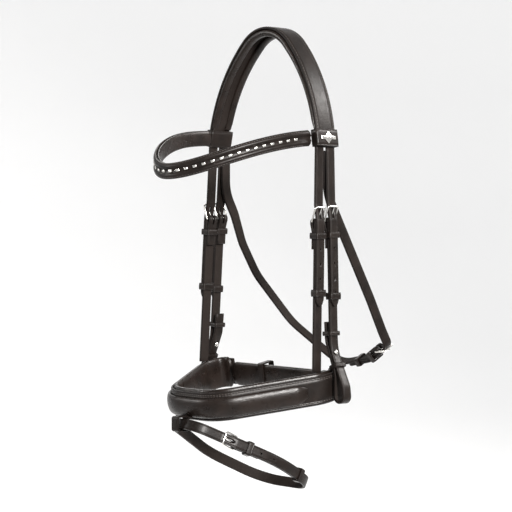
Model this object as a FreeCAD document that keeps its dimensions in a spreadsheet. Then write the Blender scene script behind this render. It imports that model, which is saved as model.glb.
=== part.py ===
"""Snaffle bridle with padded headpiece, clincher browband, padded cavesson noseband and flash strap.

Frame: millimetres, +Z up, the horse faces -Y, and +X is the near (left) side.
The origin is on the underside of the headpiece padding, at the top of the poll.
Straps are flat bands. Each one is a centre line, thickened to the leather's thickness and pushed
out to the strap's width. A station is a place on a centre line with an outward and an upward
direction, and it carries the buckle, keeper or stud that sits there.
"""
import FreeCAD, Part
import math
import os
from FreeCAD import Matrix, Placement, Rotation, Vector

doc = FreeCAD.newDocument("snaffle_bridle")

# ---------------------------------------------------------------- driving dimensions

SIZES = {
    # leather
    "strap_width": 13.0,
    "strap_thickness": 3.2,
    "headstrap_thickness": 3.0,
    "layer_gap": 0.3,
    # headpiece
    "crown_width": 31.0,
    "crown_thickness": 3.0,
    "crown_height": 10.2,
    "crown_top_radius": 56.0,
    "crown_side_radius": 208.0,
    "crown_top_turn": 45.0,
    "crown_side_turn": 79.7,
    "padding_end_turn": 75.5,
    "crown_end_run": 21.0,
    "roll_width": 8.5,
    "roll_thickness": 8.6,
    "roll_end_thickness": 4.4,
    "head_lean": -2.2,
    "channel_seam": 0.1,
    # cheekpieces
    "cheek_top_x": 98.4,
    "cheek_top_z": -138.0,
    "cheek_tilt": 2.74,
    "cheek_lean": -1.15,
    "cheek_row": 5.7,
    "cheek_buckle_drop": 80.5,
    "bit_loop_radius": 7.6,
    # noseband hangers
    "hanger_top_x": 97.8,
    "hanger_tilt": 1.45,
    "hanger_row": -9.2,
    "hanger_buckle_drop": 82.0,
    # buckles
    "wire_radius": 1.2,
    "tongue_radius": 1.0,
    "buckle_reach": 9.0,
    "buckle_rise": 3.5,
    "buckle_side_gap": 0.5,
    "frame_corner": 2.0,
    "slot_width": 3.4,
    "slot_length": 14.0,
    "slot_depth": 12.0,
    "hole_width": 2.8,
    "hole_length": 10.5,
    "hole_depth": 10.0,
    # keepers
    "keeper_wall": 1.7,
    "keeper_length": 7.5,
    "runner_length": 8.5,
    "bit_keeper_length": 5.5,
    "jaw_keeper_length": 9.0,
    "keeper_corner": 0.4,
    # hook studs
    "stud_shank_radius": 1.4,
    "stud_bore_radius": 1.6,
    "stud_head_radius": 3.0,
    "stud_head_thickness": 1.4,
    "stud_half_length": 5.5,
    # browband
    "browband_half_span": 93.4,
    "browband_reach": 166.0,
    "browband_dip": 40.4,
    "browband_width": 19.5,
    "browband_thickness": 3.5,
    "browband_pad_thickness": 4.5,
    "browband_loop_length": 21.0,
    "browband_loop_wall": 2.2,
    "clincher_length": 5.4,
    "clincher_height": 3.6,
    "clincher_thickness": 1.6,
    "plate_thickness": 1.4,
    # noseband
    "noseband_pitch": 9.9,
    "noseband_centre_y": -61.6,
    "noseband_top_z": -420.6,
    "noseband_height": 34.0,
    "noseband_thickness": 3.0,
    "noseband_pad_thickness": 7.5,
    "noseband_pad_height": 37.0,
    "noseband_roll_height": 19.0,
    "noseband_roll_thickness": 4.6,
    "jaw_pad_height": 30.0,
    "jaw_pad_thickness": 6.0,
    "jaw_pad_length": 168.0,
    "chin_strap_width": 16.0,
    "chin_seam_x": 90.0,
    # flash strap
    "flash_pitch": -26.4,
    "flash_centre_y": -65.6,
    "flash_centre_z": -515.0,
    "flash_loop_room": 15.4,
    "flash_loop_length": 12.0,
    "flash_tab_length": 9.0,
    "flash_tab_thickness": 2.0,
    # throatlatch
    "throat_pivot_y": 3.0,
    "throat_pivot_z": -142.0,
    "throat_bend_z": -195.0,
    "throat_half_span": 94.0,
    "throat_pitch": 28.8,
}

sheet = doc.addObject("Spreadsheet::Sheet", "Sizes")
for row, (alias, value) in enumerate(SIZES.items(), start=1):
    cell = f"A{row}"
    sheet.set(cell, str(value))
    sheet.setAlias(cell, alias)
doc.recompute()


def size(alias):
    return float(sheet.get(alias))


def bind(item, prop, formula):
    """Ties a property to the sheet; names of cells in the formula are written as they are."""
    item.setExpression(prop, formula)


X_AXIS = Vector(1, 0, 0)
Y_AXIS = Vector(0, 1, 0)
Z_AXIS = Vector(0, 0, 1)
# Sketch planes: a side plane holds (x, z), and a ring plane holds (x, y).
SIDE_PLANE = Rotation(X_AXIS, 90)
RING_PLANE = Rotation()
# A face plane holds (y, z) and looks along x.
FACE_PLANE = Rotation(Vector(1, 1, 1), 120)
PUSH = {"side": (SIDE_PLANE, Y_AXIS), "ring": (RING_PLANE, Z_AXIS), "face": (FACE_PLANE, X_AXIS)}

SIDES = (("near", False), ("far", True))
pieces = []


def piece(item, label, placement=Placement()):
    """Gives a finished sub-part its name and place."""
    item.Label = label
    item.Placement = placement
    pieces.append(item)
    return item


# ---------------------------------------------------------------- outlines and centre lines


def rounded_route(points, radii):
    """Straight runs through the points, with a tangent arc at each inner point."""
    corners = [Vector(a, b, 0) for a, b in points]
    route = []
    start = corners[0]
    for before, corner, after, radius in zip(corners, corners[1:], corners[2:], radii):
        into = (corner - before).normalize()
        out = (after - corner).normalize()
        turn = into.getAngle(out)
        reach = radius * math.tan(turn / 2)
        first = corner - into * reach
        last = corner + out * reach
        inward = (out - into).normalize()
        middle = corner + inward * (radius / math.cos(turn / 2) - radius)
        route.append(Part.LineSegment(start, first))
        route.append(Part.Arc(first, middle, last))
        start = last
    route.append(Part.LineSegment(start, corners[-1]))
    return route


def closed_outline(points):
    ends = points[1:] + points[:1]
    return [Part.LineSegment(Vector(a, b, 0), Vector(c, d, 0)) for (a, b), (c, d) in zip(points, ends)]


def rounded_rectangle(low_a, high_a, low_b, high_b, radius):
    """A closed rectangle with round corners, starting halfway along its top side."""
    middle = (low_a + high_a) / 2
    start = (middle, high_b)
    corners = [(low_a, high_b), (low_a, low_b), (high_a, low_b), (high_a, high_b)]
    return rounded_route([start] + corners + [start], [radius] * 4)


def sketch(name, route, plane, place=Placement()):
    outline = doc.addObject("Sketcher::SketchObject", name)
    outline.Placement = place * Placement(Vector(), PUSH[plane][0])
    for part in route:
        outline.addGeometry(part)
    return outline


def push(name, outline, plane, width):
    """A solid made by pushing a flat outline equally to both sides of its plane."""
    solid = doc.addObject("Part::Extrusion", name)
    solid.Base = outline
    solid.DirMode = "Custom"
    solid.Dir = PUSH[plane][1]
    solid.Symmetric = True
    solid.Solid = True
    bind(solid, "LengthFwd", width)
    return solid


def strap(name, route, plane, width="Sizes.strap_width", thickness="Sizes.strap_thickness"):
    """A flat band of leather along an open centre line."""
    edge = doc.addObject("Part::Offset2D", name + "_edge")
    edge.Source = sketch(name + "_line", route, plane)
    edge.Fill = True
    edge.Join = 0
    bind(edge, "Value", f"{thickness} / 2")
    return push(name + "_band", edge, plane, width)


def cut(name, base, tool):
    result = doc.addObject("Part::Cut", name)
    result.Base = base
    result.Tool = tool
    return result


def common(name, base, tool):
    result = doc.addObject("Part::Common", name)
    result.Base = base
    result.Tool = tool
    return result


def fuse(name, shapes):
    result = doc.addObject("Part::MultiFuse", name)
    result.Shapes = shapes
    return result


def box(name, sides, centre, place=Placement()):
    """A box round a centre; its sides are formulas over the sheet."""
    solid = doc.addObject("Part::Box", name)
    for prop, side in zip(("Length", "Width", "Height"), sides):
        bind(solid, prop, side)
    doc.recompute([solid])
    half = Vector(solid.Length.Value, solid.Width.Value, solid.Height.Value) / 2
    solid.Placement = place * Placement(centre - half, Rotation())
    return solid


def rod(name, radius, length, start, turn, place=Placement()):
    """A cylinder from a start point; its radius and length are formulas over the sheet."""
    solid = doc.addObject("Part::Cylinder", name)
    bind(solid, "Radius", radius)
    bind(solid, "Height", length)
    solid.Placement = place * Placement(start, turn)
    return solid


# ---------------------------------------------------------------- stations


class Station:
    """A place on a centre line, with the outward and upward directions in the strap's plane."""

    def __init__(self, origin, up_angle, out_side, plane="side", mirrored=False):
        angle = math.radians(up_angle)
        flip = -1 if mirrored else 1
        self.origin = (origin[0] * flip, origin[1])
        self.up = (math.cos(angle) * flip, math.sin(angle))
        self.out = (math.sin(angle) * out_side * flip, -math.cos(angle) * out_side)
        self.plane = plane

    def point(self, out, up):
        """A point of the sketch plane, given by its distances outward and upward."""
        return tuple(o + out * a + up * b for o, a, b in zip(self.origin, self.out, self.up))

    def placement(self):
        """Carries hardware drawn with x outward, y across the strap and z upward."""
        turn = PUSH[self.plane][0]
        outward = turn.multVec(Vector(*self.out, 0))
        upward = turn.multVec(Vector(*self.up, 0))
        across = upward.cross(outward)
        centre = turn.multVec(Vector(*self.origin, 0))
        columns = Matrix(
            outward.x, across.x, upward.x, centre.x,
            outward.y, across.y, upward.y, centre.y,
            outward.z, across.z, upward.z, centre.z,
            0, 0, 0, 1,
        )
        return Placement(columns)


# The buckle's side view: the heel bar is inside, and the toe bar lies outside the billet.
TOE = (size("buckle_rise") + 0.4, size("buckle_reach"))
HEEL = (0.4 - size("buckle_rise"), -size("buckle_reach"))
FRAME_ANGLE = math.degrees(math.atan2(TOE[0] - HEEL[0], TOE[1] - HEEL[1]))
FRAME_LENGTH = math.hypot(TOE[0] - HEEL[0], TOE[1] - HEEL[1])
FOLD_RADIUS = size("wire_radius") + 0.3 + size("strap_thickness") / 2
LAYER = size("strap_thickness") + size("layer_gap")
MAIN_OUT = HEEL[0] + FOLD_RADIUS
BILLET_OUT = MAIN_OUT + LAYER
TURN_BACK_LENGTH = 42.0
TURN_BACK_START = HEEL[1] - 2
TURN_BACK_FLAT = HEEL[1] - 12
HOLE_UP = 0.8
HOLE_OUT = 2.0


def billet_points(station, top):
    """From above the buckle to below it: the billet comes from behind the toe bar to the outside."""
    return [station.point(0, top), station.point(0, 12), station.point(BILLET_OUT, -8)]


BILLET_RADII = [15, 15]


def fold_route(station, turn_back=TURN_BACK_LENGTH):
    """The buckle end of a strap: a turned back end, the fold round the heel bar, and the main layer."""
    inner_out = HEEL[0] - FOLD_RADIUS
    back = [
        station.point(MAIN_OUT - LAYER, -turn_back),
        station.point(MAIN_OUT - LAYER, TURN_BACK_FLAT),
        station.point(inner_out, TURN_BACK_START),
        station.point(inner_out, HEEL[1]),
    ]
    route = rounded_route(back, [10, 5])
    start = Vector(*station.point(inner_out, HEEL[1]), 0)
    top = Vector(*station.point(HEEL[0], HEEL[1] + FOLD_RADIUS), 0)
    end = Vector(*station.point(MAIN_OUT, HEEL[1]), 0)
    route.append(Part.Arc(start, top, end))
    return route


def tongue_slot(name, station, base):
    """The slot in the fold that lets the tongue turn on the heel bar."""
    sides = ("Sizes.slot_depth", "Sizes.slot_width", "Sizes.slot_length")
    slot = box(name + "_slot", sides, Vector(HEEL[0], 0, HEEL[1]), station.placement())
    return cut(name + "_slotted", base, slot)


def billet_hole(name, base, place):
    """The long hole that the tongue passes through."""
    sides = ("Sizes.hole_depth", "Sizes.hole_width", "Sizes.hole_length")
    hole = box(name + "_hole", sides, Vector(HOLE_OUT, 0, HOLE_UP), place)
    return cut(name + "_holed", base, hole)


# ---------------------------------------------------------------- hardware


def buckle(prefix, station, place, width="strap_width"):
    """A wire frame and its tongue, both on the heel bar's line."""
    half = size(width) / 2 + size("buckle_side_gap") + size("wire_radius")
    where = place * station.placement()
    tilt = Placement(Vector((TOE[0] + HEEL[0]) / 2, 0, 0), Rotation(Y_AXIS, FRAME_ANGLE))
    spine_route = rounded_rectangle(-half, half, -FRAME_LENGTH / 2, FRAME_LENGTH / 2, size("frame_corner"))
    spine = sketch(prefix + "_frame_line", spine_route, "face")
    wire = doc.addObject("Part::Circle", prefix + "_wire")
    bind(wire, "Radius", "Sizes.wire_radius")
    wire.Placement = Placement(Vector(0, 0, FRAME_LENGTH / 2), Rotation(X_AXIS, 90))
    frame = doc.addObject("Part::Sweep", prefix + "_frame")
    frame.Sections = [wire]
    frame.Spine = spine
    frame.Solid = True
    piece(frame, prefix + "_buckle", where * tilt)

    heel = Vector(HEEL[0], 0, HEEL[1])
    across = Vector(FRAME_LENGTH + 1.0, 0, 0)
    lift = size("wire_radius") + size("tongue_radius") + 0.1
    angle = FRAME_ANGLE + math.degrees(math.asin(lift / FRAME_LENGTH))
    eye = doc.addObject("Part::Torus", prefix + "_eye")
    bind(eye, "Radius1", "Sizes.wire_radius + Sizes.tongue_radius + 0.1")
    bind(eye, "Radius2", "Sizes.tongue_radius")
    eye.Placement = Placement(Vector(), Rotation(X_AXIS, 90))
    start = Vector(0, 0, lift)
    shank = rod(prefix + "_shank", "Sizes.tongue_radius", f"{across.x - lift:.3f}", start, Rotation())
    tip = doc.addObject("Part::Sphere", prefix + "_tip")
    bind(tip, "Radius", "Sizes.tongue_radius")
    tip.Placement = Placement(Vector(0, 0, across.x), Rotation())
    tongue = fuse(prefix + "_tongue_parts", [eye, shank, tip])
    piece(tongue, prefix + "_tongue", where * Placement(heel, Rotation(Y_AXIS, angle)))
    bar = where.multVec(heel)
    axis = where.Rotation.multVec(Y_AXIS)
    print(f"{prefix}_tongue turns at {bar} about {axis}")


def strap_loop(label, station, place, inside, outside, up, room=0.3, length="Sizes.keeper_length",
               width="strap_width", wall="keeper_wall"):
    """A leather loop round the layers from inside to outside, centred at a height on the strap."""
    half = size(width) / 2 + room
    leather = size(wall)
    low = inside - room
    high = outside + room
    outer = rounded_rectangle(low - leather, high + leather, -half - leather, half + leather, leather)
    inner = rounded_rectangle(low, high, -half, half, size("keeper_corner"))
    loop = push(label + "_ring", sketch(label + "_outline", outer + inner, "ring"), "ring", length)
    piece(loop, label, place * station.placement() * Placement(Vector(0, 0, up), Rotation()))
    axis = (place * station.placement()).Rotation.multVec(Z_AXIS)
    print(f"{label} points along {axis}")


HALF_STRAP = size("strap_thickness") / 2
SINGLE_INSIDE = MAIN_OUT - HALF_STRAP
BACKED_INSIDE = MAIN_OUT - LAYER - HALF_STRAP
OUTSIDE = BILLET_OUT + HALF_STRAP
KEEPER_UP = TURN_BACK_FLAT - 4.5


# ---------------------------------------------------------------- headpiece

HEAD = Placement(Vector(), Rotation(X_AXIS, size("head_lean")))


def arch_points(inward, end_turn="crown_side_turn"):
    """The near half of the headpiece's curve, moved inward: top, shoulder, mid side, low side and end."""
    top_radius = size("crown_top_radius")
    side_radius = size("crown_side_radius")
    top_turn = math.radians(size("crown_top_turn"))
    side_turn = math.radians(size(end_turn))
    mid_turn = (top_turn + side_turn) / 2
    top_centre = Vector(0, size("crown_height") - top_radius, 0)
    outward = Vector(math.sin(top_turn), math.cos(top_turn), 0)
    side_centre = top_centre + outward * (top_radius - side_radius)

    def on_side(turn):
        return side_centre + Vector(math.sin(turn), math.cos(turn), 0) * (side_radius - inward)

    top = top_centre + Vector(0, top_radius - inward, 0)
    low = on_side(side_turn)
    end = low + Vector(math.cos(side_turn), -math.sin(side_turn), 0) * size("crown_end_run")
    return top, on_side(top_turn), on_side(mid_turn), low, end


def mirrored(point):
    return Vector(-point.x, point.y, 0)


def arch_route(inward):
    """The headpiece's curve from the near end over the poll to the far end."""
    top, shoulder, side, low, end = arch_points(inward)
    near = [Part.LineSegment(end, low), Part.Arc(low, side, shoulder)]
    far = [
        Part.Arc(mirrored(shoulder), mirrored(side), mirrored(low)),
        Part.LineSegment(mirrored(low), mirrored(end)),
    ]
    return near + [Part.Arc(shoulder, top, mirrored(shoulder))] + far


crown = strap("crown", arch_route(0), "side", "Sizes.crown_width", "Sizes.crown_thickness")
piece(crown, "headpiece_crown", HEAD)


def padding_outline():
    """The padding's side view: thick over the poll and thinner towards the browband."""
    outer_in = size("crown_thickness") / 2 + size("channel_seam")
    thick = size("roll_thickness")
    thin = size("roll_end_thickness")
    top, shoulder, side, low, _ = arch_points(outer_in, "padding_end_turn")
    deep_top, deep_shoulder, _, _, _ = arch_points(outer_in + thick)
    _, _, deep_side, _, _ = arch_points(outer_in + (thick + thin) / 2, "padding_end_turn")
    _, _, _, deep_low, _ = arch_points(outer_in + thin, "padding_end_turn")
    return [
        Part.Arc(mirrored(shoulder), top, shoulder),
        Part.Arc(shoulder, side, low),
        Part.LineSegment(low, deep_low),
        Part.Arc(deep_low, deep_side, deep_shoulder),
        Part.Arc(deep_shoulder, deep_top, mirrored(deep_shoulder)),
        Part.Arc(mirrored(deep_shoulder), mirrored(deep_side), mirrored(deep_low)),
        Part.LineSegment(mirrored(deep_low), mirrored(low)),
        Part.Arc(mirrored(low), mirrored(side), mirrored(shoulder)),
    ]


rolls = []
for name, side in (("front", -1), ("rear", 1)):
    outline = sketch(f"{name}_roll_outline", padding_outline(), "side")
    roll = push(f"{name}_roll", outline, "side", "Sizes.roll_width")
    edge_step = (size("crown_width") - size("roll_width")) / 2
    roll.Placement = Placement(Vector(0, side * edge_step, 0), Rotation())
    rolls.append(roll)
padding = doc.addObject("Part::Compound", "padding_rolls")
padding.Links = rolls
piece(padding, "headpiece_padding", HEAD)

# ---------------------------------------------------------------- noseband headstrap

HANGER_LENGTH = 193.0
hanger_x = size("hanger_top_x")
hanger_tilt = size("hanger_tilt")
strap_top_z = size("cheek_top_z")


def hanger_station(mirror):
    drop = size("hanger_buckle_drop")
    centre = (hanger_x + drop * math.tan(math.radians(hanger_tilt)), strap_top_z - drop)
    return Station(centre, 90 + hanger_tilt, 1, mirrored=mirror)


def headstrap_side(mirror):
    """One side of the headstrap, from the crown's lower end to the tip of the billet."""
    station = hanger_station(mirror)
    inward = size("crown_thickness") / 2 + size("channel_seam") + size("headstrap_thickness") / 2
    _, _, _, low, end = arch_points(inward)
    flip = -1 if mirror else 1
    points = [(low.x * flip, low.y), (end.x * flip, end.y)]
    points += billet_points(station, size("hanger_buckle_drop") - 12)
    points += [station.point(BILLET_OUT, size("hanger_buckle_drop") - HANGER_LENGTH)]
    return rounded_route(points, [30, 60] + BILLET_RADII)


def backwards(route):
    """The same centre line run from its other end."""
    turned = []
    for part in reversed(route):
        first, last = part.EndPoint, part.StartPoint
        if isinstance(part, Part.LineSegment):
            turned.append(Part.LineSegment(first, last))
        else:
            middle = part.value((part.FirstParameter + part.LastParameter) / 2)
            turned.append(Part.Arc(first, middle, last))
    return turned


headstrap_in = size("crown_thickness") / 2 + size("channel_seam") + size("headstrap_thickness") / 2
h_top, h_shoulder, h_side, h_low, _ = arch_points(headstrap_in)
over_poll = [
    Part.Arc(h_low, h_side, h_shoulder),
    Part.Arc(h_shoulder, h_top, mirrored(h_shoulder)),
    Part.Arc(mirrored(h_shoulder), mirrored(h_side), mirrored(h_low)),
]
headstrap_route = backwards(headstrap_side(False)) + over_poll + headstrap_side(True)
wide = "4 * Sizes.strap_width"
headstrap = strap("headstrap", headstrap_route, "side", wide, "Sizes.headstrap_thickness")

# The headstrap runs in the channel over the poll, then steps forward to the hangers.
half_width = size("strap_width") / 2
row = size("hanger_row")
tip_z = strap_top_z - HANGER_LENGTH
STEP_TOP = -104.0
STEP_LOW = -120.0
ABOVE_POLL = 30.0
TIP_HALF = 4.0
TIP_RUN = 8.0
PAST_TIP = 0.5
headstrap_outline = [
    (half_width, ABOVE_POLL),
    (half_width, STEP_TOP),
    (row + half_width, STEP_LOW),
    (row + half_width, tip_z + TIP_RUN),
    (row + TIP_HALF, tip_z - PAST_TIP),
    (row - TIP_HALF, tip_z - PAST_TIP),
    (row - half_width, tip_z + TIP_RUN),
    (row - half_width, STEP_LOW),
    (-half_width, STEP_TOP),
    (-half_width, ABOVE_POLL),
]
headstrap_view = sketch("headstrap_outline", closed_outline(headstrap_outline), "face")
headstrap_view = push("headstrap_view", headstrap_view, "face", "3 * Sizes.hanger_top_x")
headstrap = common("headstrap_shape", headstrap, headstrap_view)
row_place = Placement(Vector(0, row, 0), Rotation())
for side, mirror in SIDES:
    headstrap = billet_hole(f"headstrap_{side}", headstrap, row_place * hanger_station(mirror).placement())
piece(headstrap, "noseband_headstrap", HEAD)

# ---------------------------------------------------------------- noseband hangers

HANGER_END_Z = -408.0
HANGER_RUNNER_UP = -95.0
RUNNER_ROOM = 0.4
HANGER = HEAD * row_place


def hanger(side, mirror):
    station = hanger_station(mirror)
    end_up = (HANGER_END_Z - station.origin[1]) / math.cos(math.radians(hanger_tilt))
    route = fold_route(station)
    start = Vector(*station.point(MAIN_OUT, HEEL[1]), 0)
    route.append(Part.LineSegment(start, Vector(*station.point(MAIN_OUT, end_up), 0)))
    prefix = f"hanger_{side}"
    solid = tongue_slot(prefix, station, strap(prefix, route, "side"))
    piece(solid, f"{prefix}_strap", HANGER)
    buckle(prefix, station, HANGER)
    strap_loop(f"{prefix}_fixed_keeper", station, HANGER, BACKED_INSIDE, OUTSIDE, KEEPER_UP)
    strap_loop(f"{prefix}_runner", station, HANGER, SINGLE_INSIDE, OUTSIDE, HANGER_RUNNER_UP, RUNNER_ROOM,
               "Sizes.runner_length")


# ---------------------------------------------------------------- cheekpieces

CHEEK_LEAN = Placement(Vector(), Rotation(X_AXIS, size("cheek_lean")))
CHEEK = CHEEK_LEAN * Placement(Vector(0, size("cheek_row"), 0), Rotation())
CHEEK_BILLET_LENGTH = 193.0
BELOW_LOOP = 2.0
CHEEK_RUNNER_UP = -100.0
STUD_AT = (110.6, -388.0)
STUD_LEAN = 22
TO_OUTSIDE = Rotation(Y_AXIS, 90)
# Each keeper above the bit loop: its name, centre, lean and half depth.
BIT_KEEPERS = [("upper", (106.0, -364), 5, 5.7), ("lower", (118.2, -403.2), 25.5, 5.0)]
half_stud = size("stud_half_length")


def cheek_station(mirror):
    drop = size("cheek_buckle_drop")
    tilt = size("cheek_tilt")
    centre = (size("cheek_top_x") + drop * math.tan(math.radians(tilt)), strap_top_z - drop)
    return Station(centre, 90 + tilt, 1, mirrored=mirror)


def lower_cheek(mirror):
    """Below the buckle: down, out over the noseband, round the bit loop and up again inside."""
    flip = -1 if mirror else 1
    radius = size("bit_loop_radius")
    loop_x, loop_z = 127.2, -439.0
    station = cheek_station(mirror)
    out = (loop_x + radius) * flip
    inn = (loop_x - radius) * flip
    down = [station.point(MAIN_OUT, HEEL[1]), (110.6 * flip, -384), (133.2 * flip, -427), (out, loop_z)]
    route = rounded_route(down, [60, 18])
    bottom = Vector(loop_x * flip, loop_z - radius, 0)
    route.append(Part.Arc(Vector(out, loop_z, 0), bottom, Vector(inn, loop_z, 0)))
    up = [(inn, loop_z), (inn, -412), (103.2 * flip, -374), (101.0 * flip, -350)]
    return route + rounded_route(up, [25, 25])


def cheek(side, mirror):
    station = cheek_station(mirror)
    prefix = f"cheek_{side}"
    flip = -1 if mirror else 1
    drop = size("cheek_buckle_drop")
    points = billet_points(station, drop - BELOW_LOOP)
    points.append(station.point(BILLET_OUT, drop - CHEEK_BILLET_LENGTH))
    billet = strap(f"{prefix}_billet", rounded_route(points, BILLET_RADII), "side")
    piece(billet_hole(f"{prefix}_billet", billet, station.placement()), f"{prefix}_billet", CHEEK)

    strap_body = strap(prefix, fold_route(station) + lower_cheek(mirror), "side")
    slotted = tongue_slot(prefix, station, strap_body)
    stud_station = Station(STUD_AT, 90 + STUD_LEAN, 1, mirrored=mirror)
    bore = rod(f"{prefix}_stud_bore", "Sizes.stud_bore_radius", "3 * Sizes.stud_half_length",
               Vector(-1.5 * half_stud, 0, 0), TO_OUTSIDE, stud_station.placement())
    piece(cut(f"{prefix}_bored", slotted, bore), f"{prefix}_piece", CHEEK)

    buckle(prefix, station, CHEEK)
    strap_loop(f"{prefix}_fixed_keeper", station, CHEEK, BACKED_INSIDE, OUTSIDE, KEEPER_UP)
    strap_loop(f"{prefix}_runner", station, CHEEK, SINGLE_INSIDE, OUTSIDE, CHEEK_RUNNER_UP, RUNNER_ROOM,
               "Sizes.runner_length")

    for name, centre, lean, half in BIT_KEEPERS:
        place = Station(centre, 90 + lean, 1, mirrored=mirror)
        label = f"{prefix}_bit_keeper_{name}"
        strap_loop(label, place, CHEEK, -half, half, 0, length="Sizes.bit_keeper_length")

    shank = rod(f"{prefix}_stud_shank", "Sizes.stud_shank_radius", "2 * Sizes.stud_half_length",
                Vector(-half_stud, 0, 0), TO_OUTSIDE)
    inner_head = rod(f"{prefix}_stud_inner", "Sizes.stud_head_radius", "Sizes.stud_head_thickness",
                     Vector(-half_stud - 1, 0, 0), TO_OUTSIDE)
    outer_head = rod(f"{prefix}_stud_outer", "Sizes.stud_head_radius", "Sizes.stud_head_thickness",
                     Vector(half_stud - 0.4, 0, 0), TO_OUTSIDE)
    stud = fuse(f"{prefix}_stud_parts", [shank, inner_head, outer_head])
    piece(stud, f"{prefix}_hook_stud", CHEEK * stud_station.placement())


for side, mirror in SIDES:
    hanger(side, mirror)
    cheek(side, mirror)

# ---------------------------------------------------------------- browband

BROW_Y = -5.7
BROW_Z = -125.8
NEAR_POWER = 2.07
FAR_POWER = 3.0
BAND_START = 7.0
STUD_START = 15.0
STUD_PITCH = 10.8


def browband_centre(turn):
    """The band's centre, from the near end (0 degrees) past the forehead (90) to the far end (180)."""
    angle = math.radians(turn)
    power = NEAR_POWER if turn <= 90 else FAR_POWER
    x = size("browband_half_span") * math.cos(angle)
    y = BROW_Y - size("browband_reach") * math.sin(angle)
    return Vector(x, y, BROW_Z - size("browband_dip") * math.sin(angle) ** power)


def browband_place(turn, outward_step=0.0):
    """A place on the band with x outward, y up the band and z along it."""
    along = (browband_centre(turn + 0.5) - browband_centre(turn - 0.5)).normalize()
    outward = Z_AXIS.cross(along).normalize()
    height = along.cross(outward)
    centre = browband_centre(turn) + outward * outward_step
    columns = Matrix(
        outward.x, height.x, along.x, centre.x,
        outward.y, height.y, along.y, centre.y,
        outward.z, height.z, along.z, centre.z,
        0, 0, 0, 1,
    )
    return Placement(columns)


def browband_layer(label, low, high, tall, corner):
    """One layer of the band, lofted through equal sections from loop to loop."""
    sections = []
    steps = 16
    for step in range(steps + 1):
        turn = BAND_START + (180 - 2 * BAND_START) * step / steps
        section = doc.addObject("Sketcher::SketchObject", f"{label}_section")
        section.Placement = browband_place(turn)
        for part in rounded_rectangle(low, high, -tall / 2, tall / 2, corner):
            section.addGeometry(part)
        sections.append(section)
    layer = doc.addObject("Part::Loft", label + "_loft")
    layer.Sections = sections
    layer.Solid = True
    return piece(layer, label)


band_thickness = size("browband_thickness")
pad_thickness = size("browband_pad_thickness")
browband_layer("browband_strap", 0, band_thickness, size("browband_width"), 0.8)
browband_layer("browband_padding", -0.1 - pad_thickness, -0.1, size("browband_width") - 1.0, 1.6)


def turns_at_pitch(start, end, pitch):
    """Turns along the band that lie one pitch apart."""
    turn = start
    places = [turn]
    distance = 0.0
    while turn < end:
        distance += (browband_centre(turn + 0.05) - browband_centre(turn)).Length
        turn += 0.05
        if distance >= pitch:
            places.append(turn)
            distance = 0.0
    return places


studs = []
for turn in turns_at_pitch(STUD_START, 180 - STUD_START, STUD_PITCH):
    stud = doc.addObject("Part::Box", "clincher")
    bind(stud, "Length", "Sizes.clincher_thickness")
    bind(stud, "Width", "Sizes.clincher_height")
    bind(stud, "Height", "Sizes.clincher_length")
    corner = Vector(0.05, -size("clincher_height") / 2, -size("clincher_length") / 2)
    stud.Placement = browband_place(turn, band_thickness) * Placement(corner, Rotation())
    studs.append(stud)
clinchers = doc.addObject("Part::Compound", "clinchers")
clinchers.Links = studs
piece(clinchers, "browband_clinchers")


BROW_LOOP_AT = (97.6, -126.6)
BROW_LOOP_LEAN = 10.3
BROW_LOOP_HALF = 3.3
BROW_LOOP_ROOM = 0.4


def brow_loop(side, mirror):
    """The loop that holds the browband's end round the headpiece and the noseband headstrap."""
    station = Station(BROW_LOOP_AT, 90 + BROW_LOOP_LEAN, 1, mirrored=mirror)
    strap_loop(f"browband_{side}_loop", station, HEAD, -BROW_LOOP_HALF, BROW_LOOP_HALF, 0, BROW_LOOP_ROOM,
               "Sizes.browband_loop_length", "crown_width", "browband_loop_wall")
    return station


near_loop = brow_loop("near", False)
brow_loop("far", True)

# A plain diamond with a bar at each side, on the near loop.
PLATE_OUT = BROW_LOOP_HALF + BROW_LOOP_ROOM + size("browband_loop_wall") + 0.75
plate_outline = [
    (-12, -2.2), (-5.5, -2.2), (0, -7.5), (5.5, -2.2), (12, -2.2),
    (12, 2.2), (5.5, 2.2), (0, 7.5), (-5.5, 2.2), (-12, 2.2),
]
plate = push("plate_body", sketch("plate_outline", closed_outline(plate_outline), "face"), "face",
             "Sizes.plate_thickness")
on_loop = Placement(Vector(PLATE_OUT, 0, 0), Rotation())
piece(plate, "browband_end_plate", HEAD * near_loop.placement() * on_loop)

# ---------------------------------------------------------------- noseband

nose_centre = Vector(0, size("noseband_centre_y"), size("noseband_top_z"))
NOSE = Placement(nose_centre, Rotation(X_AXIS, size("noseband_pitch")))
NOSE_MID = NOSE * Placement(Vector(0, 0, -size("noseband_height") / 2), Rotation())
seam_x = size("chin_seam_x")
REAR_Y = 77.3
near_ring = [(seam_x, REAR_Y), (112, REAR_Y), (115.0, 40), (42, -80)]
RING_RADII = [18, 45, 50]


def crossing(first, second):
    return first.x * second.y - first.y * second.x


def offset_points(points, inward):
    """The corners of an open outline, moved to the right of its direction."""
    lines = []
    for (a, b), (c, d) in zip(points, points[1:]):
        along = Vector(c - a, d - b, 0).normalize()
        shift = Vector(along.y, -along.x, 0) * inward
        lines.append((Vector(a, b, 0) + shift, Vector(c, d, 0) + shift, along))
    moved = [lines[0][0]]
    for (_, corner, along), (other, _, next_along) in zip(lines, lines[1:]):
        gap = other - corner
        step = crossing(gap, next_along) / crossing(along, next_along)
        moved.append(corner + along * step)
    moved.append(lines[-1][1])
    return [(point.x, point.y) for point in moved]


def ring_layer(name, points, radii, inward, width, thickness):
    corners = offset_points(points, inward)
    route = rounded_route(corners, [radius - inward for radius in radii])
    return strap(name, route, "ring", f"Sizes.{width}", f"Sizes.{thickness}")


def both_sides(points):
    return points + [(-a, b) for a, b in reversed(points)]


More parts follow.
